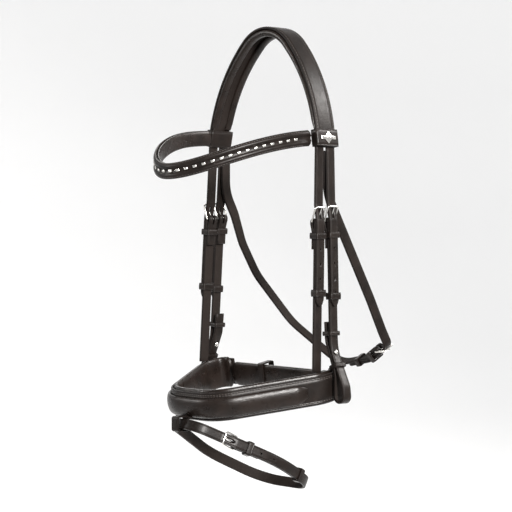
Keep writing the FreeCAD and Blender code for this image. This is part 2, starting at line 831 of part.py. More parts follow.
ring = both_sides(near_ring)
ring_radii = RING_RADII + RING_RADII[::-1]
leather_in = size("noseband_thickness") / 2
nose_band = ring_layer("nose_band", ring, ring_radii, leather_in, "noseband_height", "noseband_thickness")
piece(nose_band, "noseband_band", NOSE_MID)
pad_in = size("noseband_thickness") + 0.1 + size("noseband_pad_thickness") / 2
nose_pad = ring_layer("nose_pad", ring, ring_radii, pad_in, "noseband_pad_height", "noseband_pad_thickness")
piece(nose_pad, "noseband_padding", NOSE_MID)

ROLL_SHARE = 0.84
(side_x, side_y), (front_x, front_y) = near_ring[2:]
roll_end = (front_x + (side_x - front_x) * ROLL_SHARE, front_y + (side_y - front_y) * ROLL_SHARE)
roll_points = both_sides([roll_end, (front_x, front_y)])
roll_in = -0.1 - size("noseband_roll_thickness") / 2
roll_radii = [RING_RADII[2]] * 2
nose_roll = ring_layer("nose_roll", roll_points, roll_radii, roll_in, "noseband_roll_height",
                       "noseband_roll_thickness")
piece(nose_roll, "noseband_roll", NOSE_MID)

# The jaw side: a pad inside, a buckle tab from the near side and a billet from the far side.
CHIN_Y = 79.2
JAW_Y = 67.5
JAW_PAD_ROUND = 2.0
CHIN_BUCKLE_X = 44
JAW_KEEPER_X = -26
chin = Station((CHIN_BUCKLE_X, CHIN_Y), 180, 1, "ring")
band_y = REAR_Y - leather_in
seam = seam_x - leather_in - size("layer_gap") - HALF_STRAP
tab_route = fold_route(chin, 32)
tab_points = [chin.point(MAIN_OUT, HEEL[1]), chin.point(MAIN_OUT, -34), (seam, band_y)]
tab_route += rounded_route(tab_points, [12])
tab = tongue_slot("chin", chin, strap("chin_tab", tab_route, "ring", "Sizes.chin_strap_width"))
piece(tab, "chin_buckle_tab", NOSE_MID)
chin_points = [(-seam, band_y), (-78, CHIN_Y)] + billet_points(chin, 40)[1:] + [chin.point(BILLET_OUT, -42)]
chin_route = rounded_route(chin_points, [12] + BILLET_RADII)
chin_billet = strap("chin_billet", chin_route, "ring", "Sizes.chin_strap_width")
piece(billet_hole("chin_billet", chin_billet, chin.placement()), "chin_billet", NOSE_MID)
buckle("chin", chin, NOSE_MID, "chin_strap_width")
strap_loop("chin_keeper", chin, NOSE_MID, BACKED_INSIDE, OUTSIDE, KEEPER_UP, width="chin_strap_width")

jaw_sides = ("Sizes.jaw_pad_length", "Sizes.jaw_pad_thickness", "Sizes.jaw_pad_height")
jaw_body = box("jaw_block", jaw_sides, Vector())
jaw_pad = doc.addObject("Part::Fillet", "jaw_rounded")
jaw_pad.Base = jaw_body
jaw_pad.Edges = [(number, JAW_PAD_ROUND, JAW_PAD_ROUND) for number in range(1, 13)]
piece(jaw_pad, "jaw_pad", NOSE_MID * Placement(Vector(0, JAW_Y, 0), Rotation()))
jaw_half = size("jaw_pad_thickness") / 2
jaw_keeper = Station((JAW_KEEPER_X, JAW_Y), 180, 1, "ring")
strap_loop("jaw_pad_keeper", jaw_keeper, NOSE_MID, -jaw_half, CHIN_Y - JAW_Y + HALF_STRAP, 0,
           length="Sizes.jaw_keeper_length", width="jaw_pad_height")

# ---------------------------------------------------------------- flash strap

flash_centre = Vector(0, size("flash_centre_y"), size("flash_centre_z"))
FLASH = Placement(flash_centre, Rotation(X_AXIS, size("flash_pitch")))
FLASH_FRONT = (26, -97)
FLASH_SIDE = (69, 12)
FLASH_REAR = (50, 98)
FLASH_FAR = [(-43, 97), (-60, 12), (-17, -97)]
# Shares of a straight run at which the buckle, the runner and the billet's tip lie.
BUCKLE_SHARE = 0.42
RUNNER_SHARE = 0.53
TIP_SHARE = 0.62


def between(first, last, share):
    return tuple(a + (b - a) * share for a, b in zip(first, last))


def heading(first, last):
    return math.degrees(math.atan2(last[1] - first[1], last[0] - first[0]))


buckle_point = between(FLASH_FRONT, FLASH_SIDE, BUCKLE_SHARE)
flash = Station(buckle_point, heading(FLASH_SIDE, FLASH_FRONT), -1, "ring")
flash_ring = [flash.point(MAIN_OUT, HEEL[1]), FLASH_SIDE, FLASH_REAR] + FLASH_FAR + [FLASH_FRONT]
tail_lift = BILLET_OUT - MAIN_OUT
rear_heading = heading(FLASH_REAR, FLASH_SIDE)
tail_corner = (FLASH_SIDE[0] + tail_lift, FLASH_SIDE[1])
tail = Station(between(FLASH_SIDE, FLASH_REAR, TIP_SHARE), rear_heading, -1, "ring")
flash_points = flash_ring + billet_points(flash, 40)[1:] + [tail_corner, tail.point(tail_lift, 0)]
flash_radii = [80, 38, 38, 80, 26, 26] + BILLET_RADII + [84]
flash_route = fold_route(flash) + rounded_route(flash_points, flash_radii)
flash_band = tongue_slot("flash", flash, strap("flash", flash_route, "ring"))
piece(billet_hole("flash", flash_band, flash.placement()), "flash_strap", FLASH)
buckle("flash", flash, FLASH)
strap_loop("flash_fixed_keeper", flash, FLASH, BACKED_INSIDE, OUTSIDE, KEEPER_UP)
flash_end = Station(between(FLASH_SIDE, FLASH_REAR, RUNNER_SHARE), rear_heading, -1, "ring")
strap_loop("flash_runner", flash_end, FLASH, -HALF_STRAP, tail_lift + HALF_STRAP, 0, RUNNER_ROOM)

# The loop under the front of the noseband that the flash strap passes through.
loop_room = size("flash_loop_room") / 2
flash_front = FLASH.multVec(Vector(0, FLASH_FRONT[1], 0))
print("flash pivot", tuple(round(v, 2) for v in flash_front))
loop_wall = size("keeper_wall")
outer_half = loop_room + loop_wall
loop_outline = rounded_rectangle(-outer_half, outer_half, -outer_half, outer_half, 3.0)
loop_outline += rounded_rectangle(-loop_room, loop_room, -loop_room, loop_room, 1.5)
loop_body = push("flash_loop_ring", sketch("flash_loop_outline", loop_outline, "face"), "face",
                 "Sizes.flash_loop_length")
loop_body.Placement = Placement(flash_front, Rotation())
tab_sides = ("Sizes.flash_loop_length", "Sizes.flash_tab_length", "Sizes.flash_tab_thickness")
tab_y = flash_front.y + loop_room + size("flash_tab_length") / 2 + 0.4
tab_centre = Vector(0, tab_y, flash_front.z + loop_room - 1.5)
flash_tab = box("flash_loop_tab", tab_sides, tab_centre)
piece(fuse("flash_loop_parts", [loop_body, flash_tab]), "flash_loop")

# ---------------------------------------------------------------- throatlatch

bend_z = size("throat_bend_z")
THROAT_TOP = Placement(Vector(0, size("throat_pivot_y"), 0), Rotation())
THROAT = Placement(Vector(0, size("throat_pivot_y"), bend_z), Rotation(X_AXIS, size("throat_pitch")))
throat_x = size("throat_half_span")
throat = Station((84.5, -221.5), 28, 1)


def throat_strap(name, lower_route, flip):
    """A lower part in the sloping plane, joined to the upright part behind the cheek billet."""
    pivot_z = size("throat_pivot_z")
    sides = ("Sizes.strap_thickness", "Sizes.strap_width", "Sizes.throat_pivot_z - Sizes.throat_bend_z")
    upper = box(name + "_upper", sides, Vector(throat_x * flip, 0, (pivot_z + bend_z) / 2), THROAT_TOP)
    lower = strap(name + "_lower", lower_route, "side")
    return upper, lower


MAIN_BEND = -31.0
TIP_PAST_BEND = 48
RUNNER_PAST_BEND = 24
main_bend = throat.point(MAIN_OUT, MAIN_BEND)
FAR_THROAT = [(-8, -250.5), (-69, -192), (-100, -122), (-102.5, -75), (-94.5, -32), (-throat_x, 0)]
main_points = [throat.point(MAIN_OUT, HEEL[1]), main_bend] + FAR_THROAT
main_route = fold_route(throat, 24) + rounded_route(main_points, [40, 38, 60, 60, 60, 40])
far_upper, far_lower = throat_strap("throat_far", main_route, -1)
far_lower = tongue_slot("throatlatch", throat, far_lower)
far_lower.Placement = THROAT
piece(fuse("throat_far_whole", [far_upper, far_lower]), "throatlatch_strap")

main_heading = heading(main_bend, FAR_THROAT[0])
main_turn = math.radians(main_heading)
run = Vector(math.cos(main_turn), math.sin(main_turn), 0)
drop = Vector(-run.y, run.x, 0) * tail_lift
tip = Vector(*main_bend, 0) + run * TIP_PAST_BEND + drop
near_points = [(throat_x, 0), (96, -150), (94.5, -196)] + billet_points(throat, 40)[1:]
near_points += [throat.point(BILLET_OUT, MAIN_BEND - 0.5), (tip.x, tip.y)]
near_route = rounded_route(near_points, [80, 60, 10, 8, 40])
near_upper, near_lower = throat_strap("throat_near", near_route, 1)
near_lower = billet_hole("throatlatch_near", near_lower, throat.placement())
near_lower.Placement = THROAT
piece(fuse("throat_near_whole", [near_upper, near_lower]), "throatlatch_near_billet")
buckle("throatlatch", throat, THROAT)
strap_loop("throatlatch_fixed_keeper", throat, THROAT, BACKED_INSIDE, OUTSIDE, KEEPER_UP + 2, 0.6)
slide_centre = Vector(*main_bend, 0) + run * RUNNER_PAST_BEND
throat_slide = Station((slide_centre.x, slide_centre.y), main_heading + 180, 1)
strap_loop("throatlatch_runner", throat_slide, THROAT, -HALF_STRAP, tail_lift + HALF_STRAP, 0, RUNNER_ROOM)

# ---------------------------------------------------------------- checks and files

doc.recompute()
for item in doc.Objects:
    if "Invalid" in item.State or "Error" in item.State:
        raise RuntimeError(f"{item.Name} did not compute")
for item in pieces:
    shape = item.Shape
    if shape.isNull() or not shape.isValid() or not shape.Solids:
        raise RuntimeError(f"{item.Label} has no valid solid")
    print(item.Label, len(shape.Solids), round(shape.Volume))

os.makedirs("parts", exist_ok=True)
for item in pieces:
    item.Shape.exportStep(f"parts/{item.Label}.step")
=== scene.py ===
"""Looks for the snaffle bridle: detailed leather, padding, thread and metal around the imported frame.

Lengths are in millimetres until a mesh is made. Straps are swept along their centre lines with a
shaped section, and a section's points are given as (across the strap, outward).
"""
from math import asin, atan2, copysign, cos, degrees, hypot, pi, radians, sin, sqrt, tan

import bpy
from mathutils import Matrix, Quaternion, Vector


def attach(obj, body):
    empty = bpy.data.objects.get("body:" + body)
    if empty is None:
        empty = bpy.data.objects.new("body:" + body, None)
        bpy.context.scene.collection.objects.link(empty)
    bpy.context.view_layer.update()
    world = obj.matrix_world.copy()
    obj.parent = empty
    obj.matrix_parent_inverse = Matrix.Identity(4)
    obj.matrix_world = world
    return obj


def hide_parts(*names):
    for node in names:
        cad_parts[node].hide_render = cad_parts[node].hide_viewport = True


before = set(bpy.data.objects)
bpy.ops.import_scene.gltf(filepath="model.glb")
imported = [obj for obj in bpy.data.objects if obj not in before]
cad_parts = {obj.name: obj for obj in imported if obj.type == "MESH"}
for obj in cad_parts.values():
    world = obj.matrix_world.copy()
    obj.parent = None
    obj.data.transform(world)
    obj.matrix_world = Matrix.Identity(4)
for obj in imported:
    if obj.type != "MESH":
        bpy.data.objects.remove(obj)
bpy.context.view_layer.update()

MM = 0.001
X_AXIS = Vector((1, 0, 0))
Y_AXIS = Vector((0, 1, 0))
Z_AXIS = Vector((0, 0, 1))
SIDES = (("near", 1), ("far", -1))

# ---- materials


def give(node, **values):
    """Sets a node's inputs. An underscore in a name stands for a space."""
    for key, value in values.items():
        node.inputs[key.replace("_", " ")].default_value = value


def shader(name, colour, roughness):
    """A material with its Principled shader, and its node tree."""
    material = bpy.data.materials.new(name)
    material.use_nodes = True
    tree = material.node_tree
    surface = tree.nodes["Principled BSDF"]
    give(surface, Base_Color=(*colour, 1), Roughness=roughness)
    return material, tree, surface


def texture(tree, kind, scale, **values):
    """A texture over object coordinates, in cells per metre."""
    where = tree.nodes.new("ShaderNodeTexCoord")
    node = tree.nodes.new(kind)
    tree.links.new(where.outputs["Object"], node.inputs["Vector"])
    give(node, Scale=scale, **values)
    return node


def ramp(tree, factor, stops):
    """Colours between two stops, each a place and a colour."""
    node = tree.nodes.new("ShaderNodeValToRGB")
    tree.links.new(factor, node.inputs["Fac"])
    for element, (place, colour) in zip(node.color_ramp.elements, stops):
        element.position = place
        element.color = (*colour, 1)
    return node.outputs["Color"]


def bump(tree, height, strength, distance, below=None):
    node = tree.nodes.new("ShaderNodeBump")
    give(node, Strength=strength, Distance=distance)
    tree.links.new(height, node.inputs["Height"])
    if below:
        tree.links.new(below, node.inputs["Normal"])
    return node.outputs["Normal"]


def leather(name, dark, light, rough_low, rough_high, grain, grain_depth, coat, shine):
    """Dyed leather: mottled colour, fine pebbled grain over soft creasing, and a waxed coat."""
    material, tree, surface = shader(name, light, rough_high)
    mottle = texture(tree, "ShaderNodeTexNoise", 55, Detail=5.0, Roughness=0.6)
    colour = ramp(tree, mottle.outputs["Fac"], ((0.32, dark), (0.72, light)))
    tree.links.new(colour, surface.inputs["Base Color"])
    wear = texture(tree, "ShaderNodeTexNoise", 140, Detail=4.0)
    worn = ramp(tree, wear.outputs["Fac"], ((0.3, (rough_low,) * 3), (0.75, (rough_high,) * 3)))
    tree.links.new(worn, surface.inputs["Roughness"])
    pebbles = texture(tree, "ShaderNodeTexVoronoi", grain, Randomness=1.0)
    creases = texture(tree, "ShaderNodeTexNoise", grain / 5, Detail=4.0, Roughness=0.65)
    soft = bump(tree, creases.outputs["Fac"], 0.5, 0.0004 * grain_depth)
    fine = bump(tree, pebbles.outputs["Distance"], 0.4, 0.00025 * grain_depth, soft)
    tree.links.new(fine, surface.inputs["Normal"])
    give(surface, Coat_Weight=coat, Coat_Roughness=0.28, Specular_IOR_Level=shine)
    return material


def fibres(name, dark, light, roughness, scale):
    """The flesh side or the burnished edge: short fibres, no coat."""
    material, tree, surface = shader(name, dark, roughness)
    noise = texture(tree, "ShaderNodeTexNoise", scale, Detail=6.0, Roughness=0.7, Distortion=0.8)
    colour = ramp(tree, noise.outputs["Fac"], ((0.3, dark), (0.7, light)))
    tree.links.new(colour, surface.inputs["Base Color"])
    tree.links.new(bump(tree, noise.outputs["Fac"], 0.5, 0.0002), surface.inputs["Normal"])
    give(surface, Specular_IOR_Level=0.05)
    return material


def nickel(name, colour, low, high):
    """Polished plate with faint brushing and handling marks."""
    material, tree, surface = shader(name, colour, high)
    give(surface, Metallic=1.0)
    marks = texture(tree, "ShaderNodeTexNoise", 420, Detail=5.0, Roughness=0.6)
    worn = ramp(tree, marks.outputs["Fac"], ((0.35, (low,) * 3), (0.7, (high,) * 3)))
    tree.links.new(worn, surface.inputs["Roughness"])
    tree.links.new(bump(tree, marks.outputs["Fac"], 0.12, 0.00005), surface.inputs["Normal"])
    return material


def stranded(name, dark, light):
    """Waxed linen thread."""
    material, tree, surface = shader(name, light, 0.55)
    strands = texture(tree, "ShaderNodeTexNoise", 1500, Detail=3.0)
    colour = ramp(tree, strands.outputs["Fac"], ((0.35, dark), (0.7, light)))
    tree.links.new(colour, surface.inputs["Base Color"])
    tree.links.new(bump(tree, strands.outputs["Fac"], 0.5, 0.0001), surface.inputs["Normal"])
    return material


GRAIN = leather("bridle_leather", (0.0026, 0.0019, 0.0016), (0.006, 0.0043, 0.0036), 0.32, 0.44,
                grain=1300, grain_depth=0.6, coat=0.01, shine=0.085)
SOFT = leather("padding_leather", (0.003, 0.0021, 0.0017), (0.0068, 0.0046, 0.0037), 0.25, 0.36,
               grain=900, grain_depth=1.0, coat=0.015, shine=0.115)
EDGE = fibres("burnished_edge", (0.0025, 0.0018, 0.0016), (0.0055, 0.004, 0.0034), 0.45, 900)
FLESH = fibres("leather_back", (0.0035, 0.0026, 0.0022), (0.0075, 0.0055, 0.0046), 0.72, 700)
THREAD = stranded("waxed_thread", (0.008, 0.006, 0.005), (0.03, 0.022, 0.018))
NICKEL = nickel("nickel_plate", (0.44, 0.43, 0.41), 0.16, 0.3)

# Each kind of surface: its materials, and its slot in the part's record.
LEATHER = ((GRAIN, EDGE, FLESH), "black_leather")
PADDING = ((SOFT,), "padding_leather")
METAL = ((NICKEL,), "nickel_plate")
STITCHING = ((THREAD,), "black_leather")

# ---- meshes


def finished(name, points, faces, indices, kind, body, replaced=(), sharp=48):
    """A piece from points in millimetres, riding on its body in place of CAD nodes."""
    materials, slot = kind
    mesh = bpy.data.meshes.new(name)
    mesh.from_pydata([tuple(Vector(p) * MM) for p in points], [], faces)
    for material in materials:
        mesh.materials.append(material)
    mesh.polygons.foreach_set("material_index", indices)
    mesh.polygons.foreach_set("use_smooth", [True] * len(mesh.polygons))
    mesh.validate()
    mesh.set_sharp_from_angle(angle=radians(sharp))
    item = bpy.data.objects.new(name, mesh)
    bpy.context.scene.collection.objects.link(item)
    if body:
        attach(item, body)
    if replaced:
        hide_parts(*replaced)
    return item


def blocks(name, stacks, kind, body, replaced=(), sharp=48, index=0):
    """A piece of closed blocks. Each is a stack of outlines that have equally many points."""
    points = []
    faces = []
    for layers in stacks:
        count = len(layers[0])
        base = len(points)
        last = base + (len(layers) - 1) * count
        points += [p for layer in layers for p in layer]
        faces += [tuple(range(base, base + count))[::-1], tuple(range(last, last + count))]
        for start in range(base, last, count):
            for k in range(count):
                j = (k + 1) % count
                faces.append((start + k, start + j, start + count + j, start + count + k))
    return finished(name, points, faces, [index] * len(faces), kind, body, replaced, sharp)


def circle(count):
    """Angles at even steps round a circle."""
    return [2 * pi * k / count for k in range(count)]


def lengths(line):
    """Each point's distance along a line."""
    total = 0.0
    along = [0.0]
    for first, second in zip(line, line[1:]):
        total += (second - first).length
        along.append(total)
    return along


def along_line(line, distances, distance):
    """The point at a distance along a line."""
    distance = min(max(distance, 0.0), distances[-1])
    for index in range(1, len(line)):
        if distance <= distances[index]:
            span = distances[index] - distances[index - 1]
            share = 0.0 if span < 1e-9 else (distance - distances[index - 1]) / span
            return line[index - 1].lerp(line[index], share)
    return line[-1].copy()


def with_extra(line, extra, step=6.0):
    """The line with more points: along its long runs, and at extra distances from its ends."""
    marks = lengths(line)
    total = marks[-1]
    wanted = set(marks)
    for first, second in zip(marks, marks[1:]):
        count = int((second - first) / step)
        wanted.update(first + (second - first) * k / (count + 1) for k in range(1, count + 1))
    extras = [d if d >= 0 else total + d for d in extra]
    kept = sorted(d for d in wanted if all(abs(d - e) > 0.12 for e in extras))
    merged = sorted(kept + extras)
    clean = [merged[0]]
    for distance in merged[1:]:
        if distance - clean[-1] > 0.05:
            clean.append(distance)
    return [along_line(line, marks, d) for d in clean]


def squared(across, point, tangent):
    """The direction across a strap at a point, at a right angle to the tangent."""
    wide = across(point) if callable(across) else across
    return (wide - tangent * wide.dot(tangent)).normalized()


def frames(line, across, side, closed):
    """For each point of a line: its across direction and its outward direction."""
    count = len(line)
    result = []
    for index, point in enumerate(line):
        before = line[index - 1] if closed or index else point
        after = line[(index + 1) % count] if closed or index < count - 1 else point
        tangent = (after - before).normalized()
        wide = squared(across, point, tangent)
        result.append((wide, tangent.cross(wide) * side))
    return result


def plain(distance, total):
    return 1.0, 1.0


def sweep(name, line, across, side, section, body, replaced, kind=LEATHER, closed=False, shape=plain,
          sharp=48):
    """A solid swept along a line. The section is a closed list of (across, outward, material)."""
    marks = lengths(line)
    total = marks[-1]
    size = len(section)
    points = []
    for point, (wide, out), mark in zip(line, frames(line, across, side, closed), marks):
        scale_a, scale_b = shape(mark, total)
        points += [point + wide * a * scale_a + out * b * scale_b for a, b, _ in section]
    faces = []
    indices = []
    rings = len(line)
    for ring in range(rings if closed else rings - 1):
        start = ring * size
        ahead = ((ring + 1) % rings) * size
        for k in range(size):
            j = (k + 1) % size
            quad = (start + k, start + j, ahead + j, ahead + k)
            faces.append(quad if side > 0 else quad[::-1])
            indices.append(section[k][2])
    if not closed:
        first = tuple(range(size))
        last = tuple(range((rings - 1) * size, rings * size))
        faces += [first[::-1], last] if side > 0 else [first, last[::-1]]
        indices += [min(1, len(kind[0]) - 1)] * 2
    return finished(name, points, faces, indices, kind, body, replaced, sharp)


def corner_points(centre_a, centre_b, radius, start, end):
    """A rounded corner of a strap's edge, from one angle to another in three steps."""
    turns = [radians(start + (end - start) * k / 3) for k in range(4)]
    return [(centre_a + radius * cos(t), centre_b + radius * sin(t), 1) for t in turns]


def strap_section(width, thickness, grooves=None, dome=0.12, corner=0.7, depth=0.28):
    """A flat strap: domed grain face with creased lines, burnished edges and a flat back."""
    half = width / 2
    high = thickness / 2
    if grooves is None:
        grooves = (-half + 1.7, half - 1.7)
    corner = min(corner, thickness * 0.45)
    flat = half - corner
    drops = {}
    for share in (-1.0, -0.6, -0.2, 0.2, 0.6, 1.0):
        if abs(share) == 1.0 or all(abs(share * flat - groove) >= 0.44 for groove in grooves):
            drops[share * flat] = 0.0
    for groove in grooves:
        for step, share in ((-0.45, 0.0), (-0.15, 1.0), (0.15, 1.0), (0.45, 0.0)):
            drops[groove + step] = depth * share
    section = [(a, high + dome * (1 - (a / half) ** 2) - drops[a], 0) for a in sorted(drops)]
    section[-1] = (*section[-1][:2], 1)
    low = corner - high
    section += corner_points(flat, -low, corner, 90, 0)[1:] + corner_points(flat, low, corner, 0, -90)[:-1]
    section += [(share * flat, -high, 2 if share > -1 else 1) for share in (1.0, 0.33, -0.33, -1.0)]
    section += corner_points(-flat, low, corner, 270, 180)[1:]
    return section + corner_points(-flat, -low, corner, 180, 90)[:-1]


def pillow_section(width, low, high, power=2.6, count=28):
    """A padded section: a rounded, full form."""
    middle = (low + high) / 2
    section = []
    for angle in circle(count):
        c, s = cos(angle), -sin(angle)
        a = copysign(abs(c) ** (2 / power), c) * width / 2
        b = copysign(abs(s) ** (2 / power), s) * (high - low) / 2
        section.append((a, middle + b, 0))
    return section


def wire_section(radius_a, radius_b):
    """Drawn wire, a little flattened."""
    return [(cos(t) * radius_a, -sin(t) * radius_b, 0) for t in circle(14)]


# A pointed end: distances from the tip, and the width there as a share of the strap's.
POINT_SHAPE = ((0.0, 0.26), (0.7, 0.4), (2.0, 0.56), (4.0, 0.74), (6.5, 0.9), (9.0, 1.0))


def step_shape(steps, distance):
    """The share of the full width at a distance from an end."""
    for (d0, s0), (d1, s1) in zip(steps, steps[1:]):
        if distance <= d1:
            return s0 + (s1 - s0) * (distance - d0) / (d1 - d0)
    return 1.0


def strap_shape(start, end):
    """Ends of a strap: pointed or square, each with its edge rounded over."""
    def shape(distance, total):
        wide = 1.0
        left = total - distance
        if start:
            wide = min(wide, step_shape(start, distance))
        if end:
            wide = min(wide, step_shape(end, left))
        thin = min(1.0, 0.6 + 0.4 * min(distance, left) / 0.6)
        return wide, thin
    return shape


# Where a square end's edge is rounded over: distances from both ends of a line.
EXTRA = (0.3, 0.6, -0.3, -0.6)


def end_marks(start, end):
    """Distances from the ends at which a strap changes shape; negative ones are from the far end."""
    marks = list(EXTRA)
    marks += [d for d, _ in start or () if d > 0.7]
    marks += [-d for d, _ in end or () if d > 0.7]
    return marks


def leather_strap(name, line, across, side, width, thickness, body, replaced, start=None, end=None):
    line = with_extra(line, end_marks(start, end))
    return sweep(name, line, across, side, strap_section(width, thickness), body, replaced,
                 shape=strap_shape(start, end))


# ---- lines


def rounded(points, radii, turn_step=7):
    """Straight runs through 3-D points, with a tangent arc at each inner point."""
    line = [points[0].copy()]
    for before, corner, after, radius in zip(points, points[1:], points[2:], radii):
        into = (corner - before).normalized()
        leave = (after - corner).normalized()
        turn = into.angle(leave)
        if turn < 0.002:
            line.append(corner.copy())
            continue
        reach = radius * tan(turn / 2)
        centre = corner + (leave - into).normalized() * (radius / cos(turn / 2))
        spoke = corner - into * reach - centre
        axis = into.cross(leave).normalized()
        count = max(3, int(degrees(turn) / turn_step) + 1)
        line += [centre + Quaternion(axis, turn * k / count) @ spoke for k in range(count + 1)]
    line.append(points[-1].copy())
    return line


def turned(axis, angle):
    return Matrix.Rotation(radians(angle), 4, axis)


def moved(x, y, z):
    return Matrix.Translation((x, y, z))


def placed(centre, x, y, z):
    """A matrix from its origin and its three axes."""
    return Matrix.Translation(centre) @ Matrix((x, y, z)).transposed().to_4x4()


TO_PLANE = {"side": turned("X", 90), "ring": Matrix.Identity(4)}


class Sheet:
    """A flat plane that holds a strap's centre line, at a place in the frame."""

    def __init__(self, kind, place):
        self.matrix = place @ TO_PLANE[kind]
        self.across = (self.matrix.to_3x3() @ Z_AXIS).normalized()

    def at(self, point):
        return self.matrix @ Vector((point[0], point[1], 0))

    def line(self, points, radii):
        return rounded([self.at(p) for p in points], radii)


class Station:
    """A place on a centre line, with outward and upward directions in its plane."""

    def __init__(self, sheet, origin, up_angle, out_side, flip=1):
        angle = radians(up_angle)
        self.sheet = sheet
        self.origin = (origin[0] * flip, origin[1])
        self.up = (cos(angle) * flip, sin(angle))
        self.out = (sin(angle) * out_side * flip, -cos(angle) * out_side)
        turn = sheet.matrix.to_3x3()
        outward = turn @ Vector((*self.out, 0))
        upward = turn @ Vector((*self.up, 0))
        self.matrix = placed(sheet.at(self.origin), outward, upward.cross(outward), upward)

    def point(self, out, up):
        return tuple(o + out * a + up * b for o, a, b in zip(self.origin, self.out, self.up))


def side_of(line, across, outward):
    """The sign that makes a swept strap's grain face look outward at its middle."""
    middle = len(line) // 2
    tangent = (line[middle + 1] - line[middle - 1]).normalized()
    return 1 if tangent.cross(across).dot(outward) > 0 else -1


# ---- stitching and holes


def stitch_row(line, across, side, offset, height, start, end, pitch=3.4):
    """Places for stitches: (centre, along, across, outward)."""
    marks = lengths(line)
    places = []
    distance = start if start >= 0 else marks[-1] + start
    stop = end if end > 0 else marks[-1] + end
    while distance < stop:
        behind, centre, ahead = (along_line(line, marks, distance + step) for step in (-1.0, 0.0, 1.0))
        tangent = (ahead - behind).normalized()
        wide = squared(across, centre, tangent)
        out = tangent.cross(wide) * side
        places.append((centre + wide * offset + out * height, tangent, wide, out))
        distance += pitch
    return places


def stitches(name, places, body, length=2.5, radius=0.42):
    """Threads sunk in their groove, one small rounded bar each."""
    stacks = []
    for centre, along, wide, out in places:
        slant = (along + wide * 0.12).normalized() * length
        layers = []
        for share, size in ((-0.5, 0.25), (-0.32, 0.9), (0.32, 0.9), (0.5, 0.25)):
            middle = centre + slant * share
            thread = radius * size
            layers.append([middle + (wide * cos(t) + out * sin(t)) * thread for t in circle(6)])
        stacks.append(layers)
    blocks(name, stacks, STITCHING, body, sharp=80)


def oval_prism(matrix, across, upward, depth):
    """A cutter's two outlines: an oval across and up, at both ends of the outward direction."""
    radius = across / 2
    straight = max(0.0, upward / 2 - radius)
    outline = [(cos(t) * radius, sin(t) * radius + copysign(straight, sin(t)))
               for t in circle(14)]
    return [[matrix @ Vector((out, y, z)) for y, z in outline] for out in (-depth / 2, depth / 2)]


def carve(item, prisms):
    """Cuts holes through a piece."""
    cutter = blocks(item.name + "_cutter", prisms, LEATHER, None, index=1)
    change = item.modifiers.new("holes", "BOOLEAN")
    change.operation = "DIFFERENCE"
    change.solver = "EXACT"
    change.use_self = True
    change.object = cutter
    graph = bpy.context.evaluated_depsgraph_get()
    mesh = bpy.data.meshes.new_from_object(item.evaluated_get(graph))
    item.modifiers.clear()
    old = item.data
    item.data = mesh
    mesh.name = old.name
    bpy.data.meshes.remove(old)
    bpy.data.objects.remove(cutter)


# ---- buckles and keepers

STRAP = 13.0  # width of the narrow straps
THICK = 3.2
WIRE = 1.2  # radius of a buckle's frame
RISE = 3.5
REACH = 9.0
SIDE_GAP = 0.5
# Places near a buckle, as (outward, up) from its middle.
TOE = (RISE + 0.4, REACH)
HEEL = (0.4 - RISE, -REACH)
FRAME_ANGLE = degrees(atan2(TOE[0] - HEEL[0], TOE[1] - HEEL[1]))
FRAME_LENGTH = hypot(TOE[0] - HEEL[0], TOE[1] - HEEL[1])
FOLD = WIRE + 0.3 + THICK / 2
LAYER = THICK + 0.3
MAIN_OUT = HEEL[0] + FOLD
BILLET_OUT = MAIN_OUT + LAYER
HALF = THICK / 2
SINGLE_INSIDE = MAIN_OUT - HALF
BACKED_INSIDE = MAIN_OUT - LAYER - HALF
OUTSIDE = BILLET_OUT + HALF
KEEPER_UP = HEEL[1] - 16.5
TONGUE_HOLE = (2.0, 0.8)


def billet_points(station, top):
    return [station.point(0, top), station.point(0, 12), station.point(BILLET_OUT, -8)]


def fold_line(station, turn_back=42.0):
    """The turned back end, and the half circle round the heel bar."""
    inner = HEEL[0] - FOLD
    points = [station.point(MAIN_OUT - LAYER, -turn_back), station.point(MAIN_OUT - LAYER, HEEL[1] - 12),
              station.point(inner, HEEL[1] - 2), station.point(inner, HEEL[1])]
    line = station.sheet.line(points, [10, 5])[:-1]
    for k in range(13):
        turn = pi * k / 12
        out, up = HEEL[0] - FOLD * cos(turn), HEEL[1] + FOLD * sin(turn)
        line.append(station.sheet.at(station.point(out, up)))
    return line


def slot_cut(station):
    return oval_prism(station.matrix @ moved(HEEL[0], 0, HEEL[1]), 3.4, 14, 12)


def hole_cut(station, out, up, across, upward, depth):
    return oval_prism(station.matrix @ moved(out, 0, up), across, upward, depth)


def tongue_hole(station):
    return hole_cut(station, TONGUE_HOLE[0], TONGUE_HOLE[1], 3.0, 12.0, 10)


def closed_rounded(matrix, low_a, high_a, low_b, high_b, radius):
    """A closed rounded rectangle in a matrix's x and y, without a repeated last point."""
    middle = (low_a + high_a) / 2
    corners = [(middle, high_b), (low_a, high_b), (low_a, low_b), (high_a, low_b), (high_a, high_b),
               (middle, high_b)]
    line = rounded([matrix @ Vector((a, b, 0)) for a, b in corners], [radius] * 4, 15)
    return with_extra(line, ())[:-1]


# Turns a flat outline to stand across the strap.
ACROSS_FACE = Matrix(((0, 0, 1, 0), (1, 0, 0, 0), (0, 1, 0, 0), (0, 0, 0, 1)))


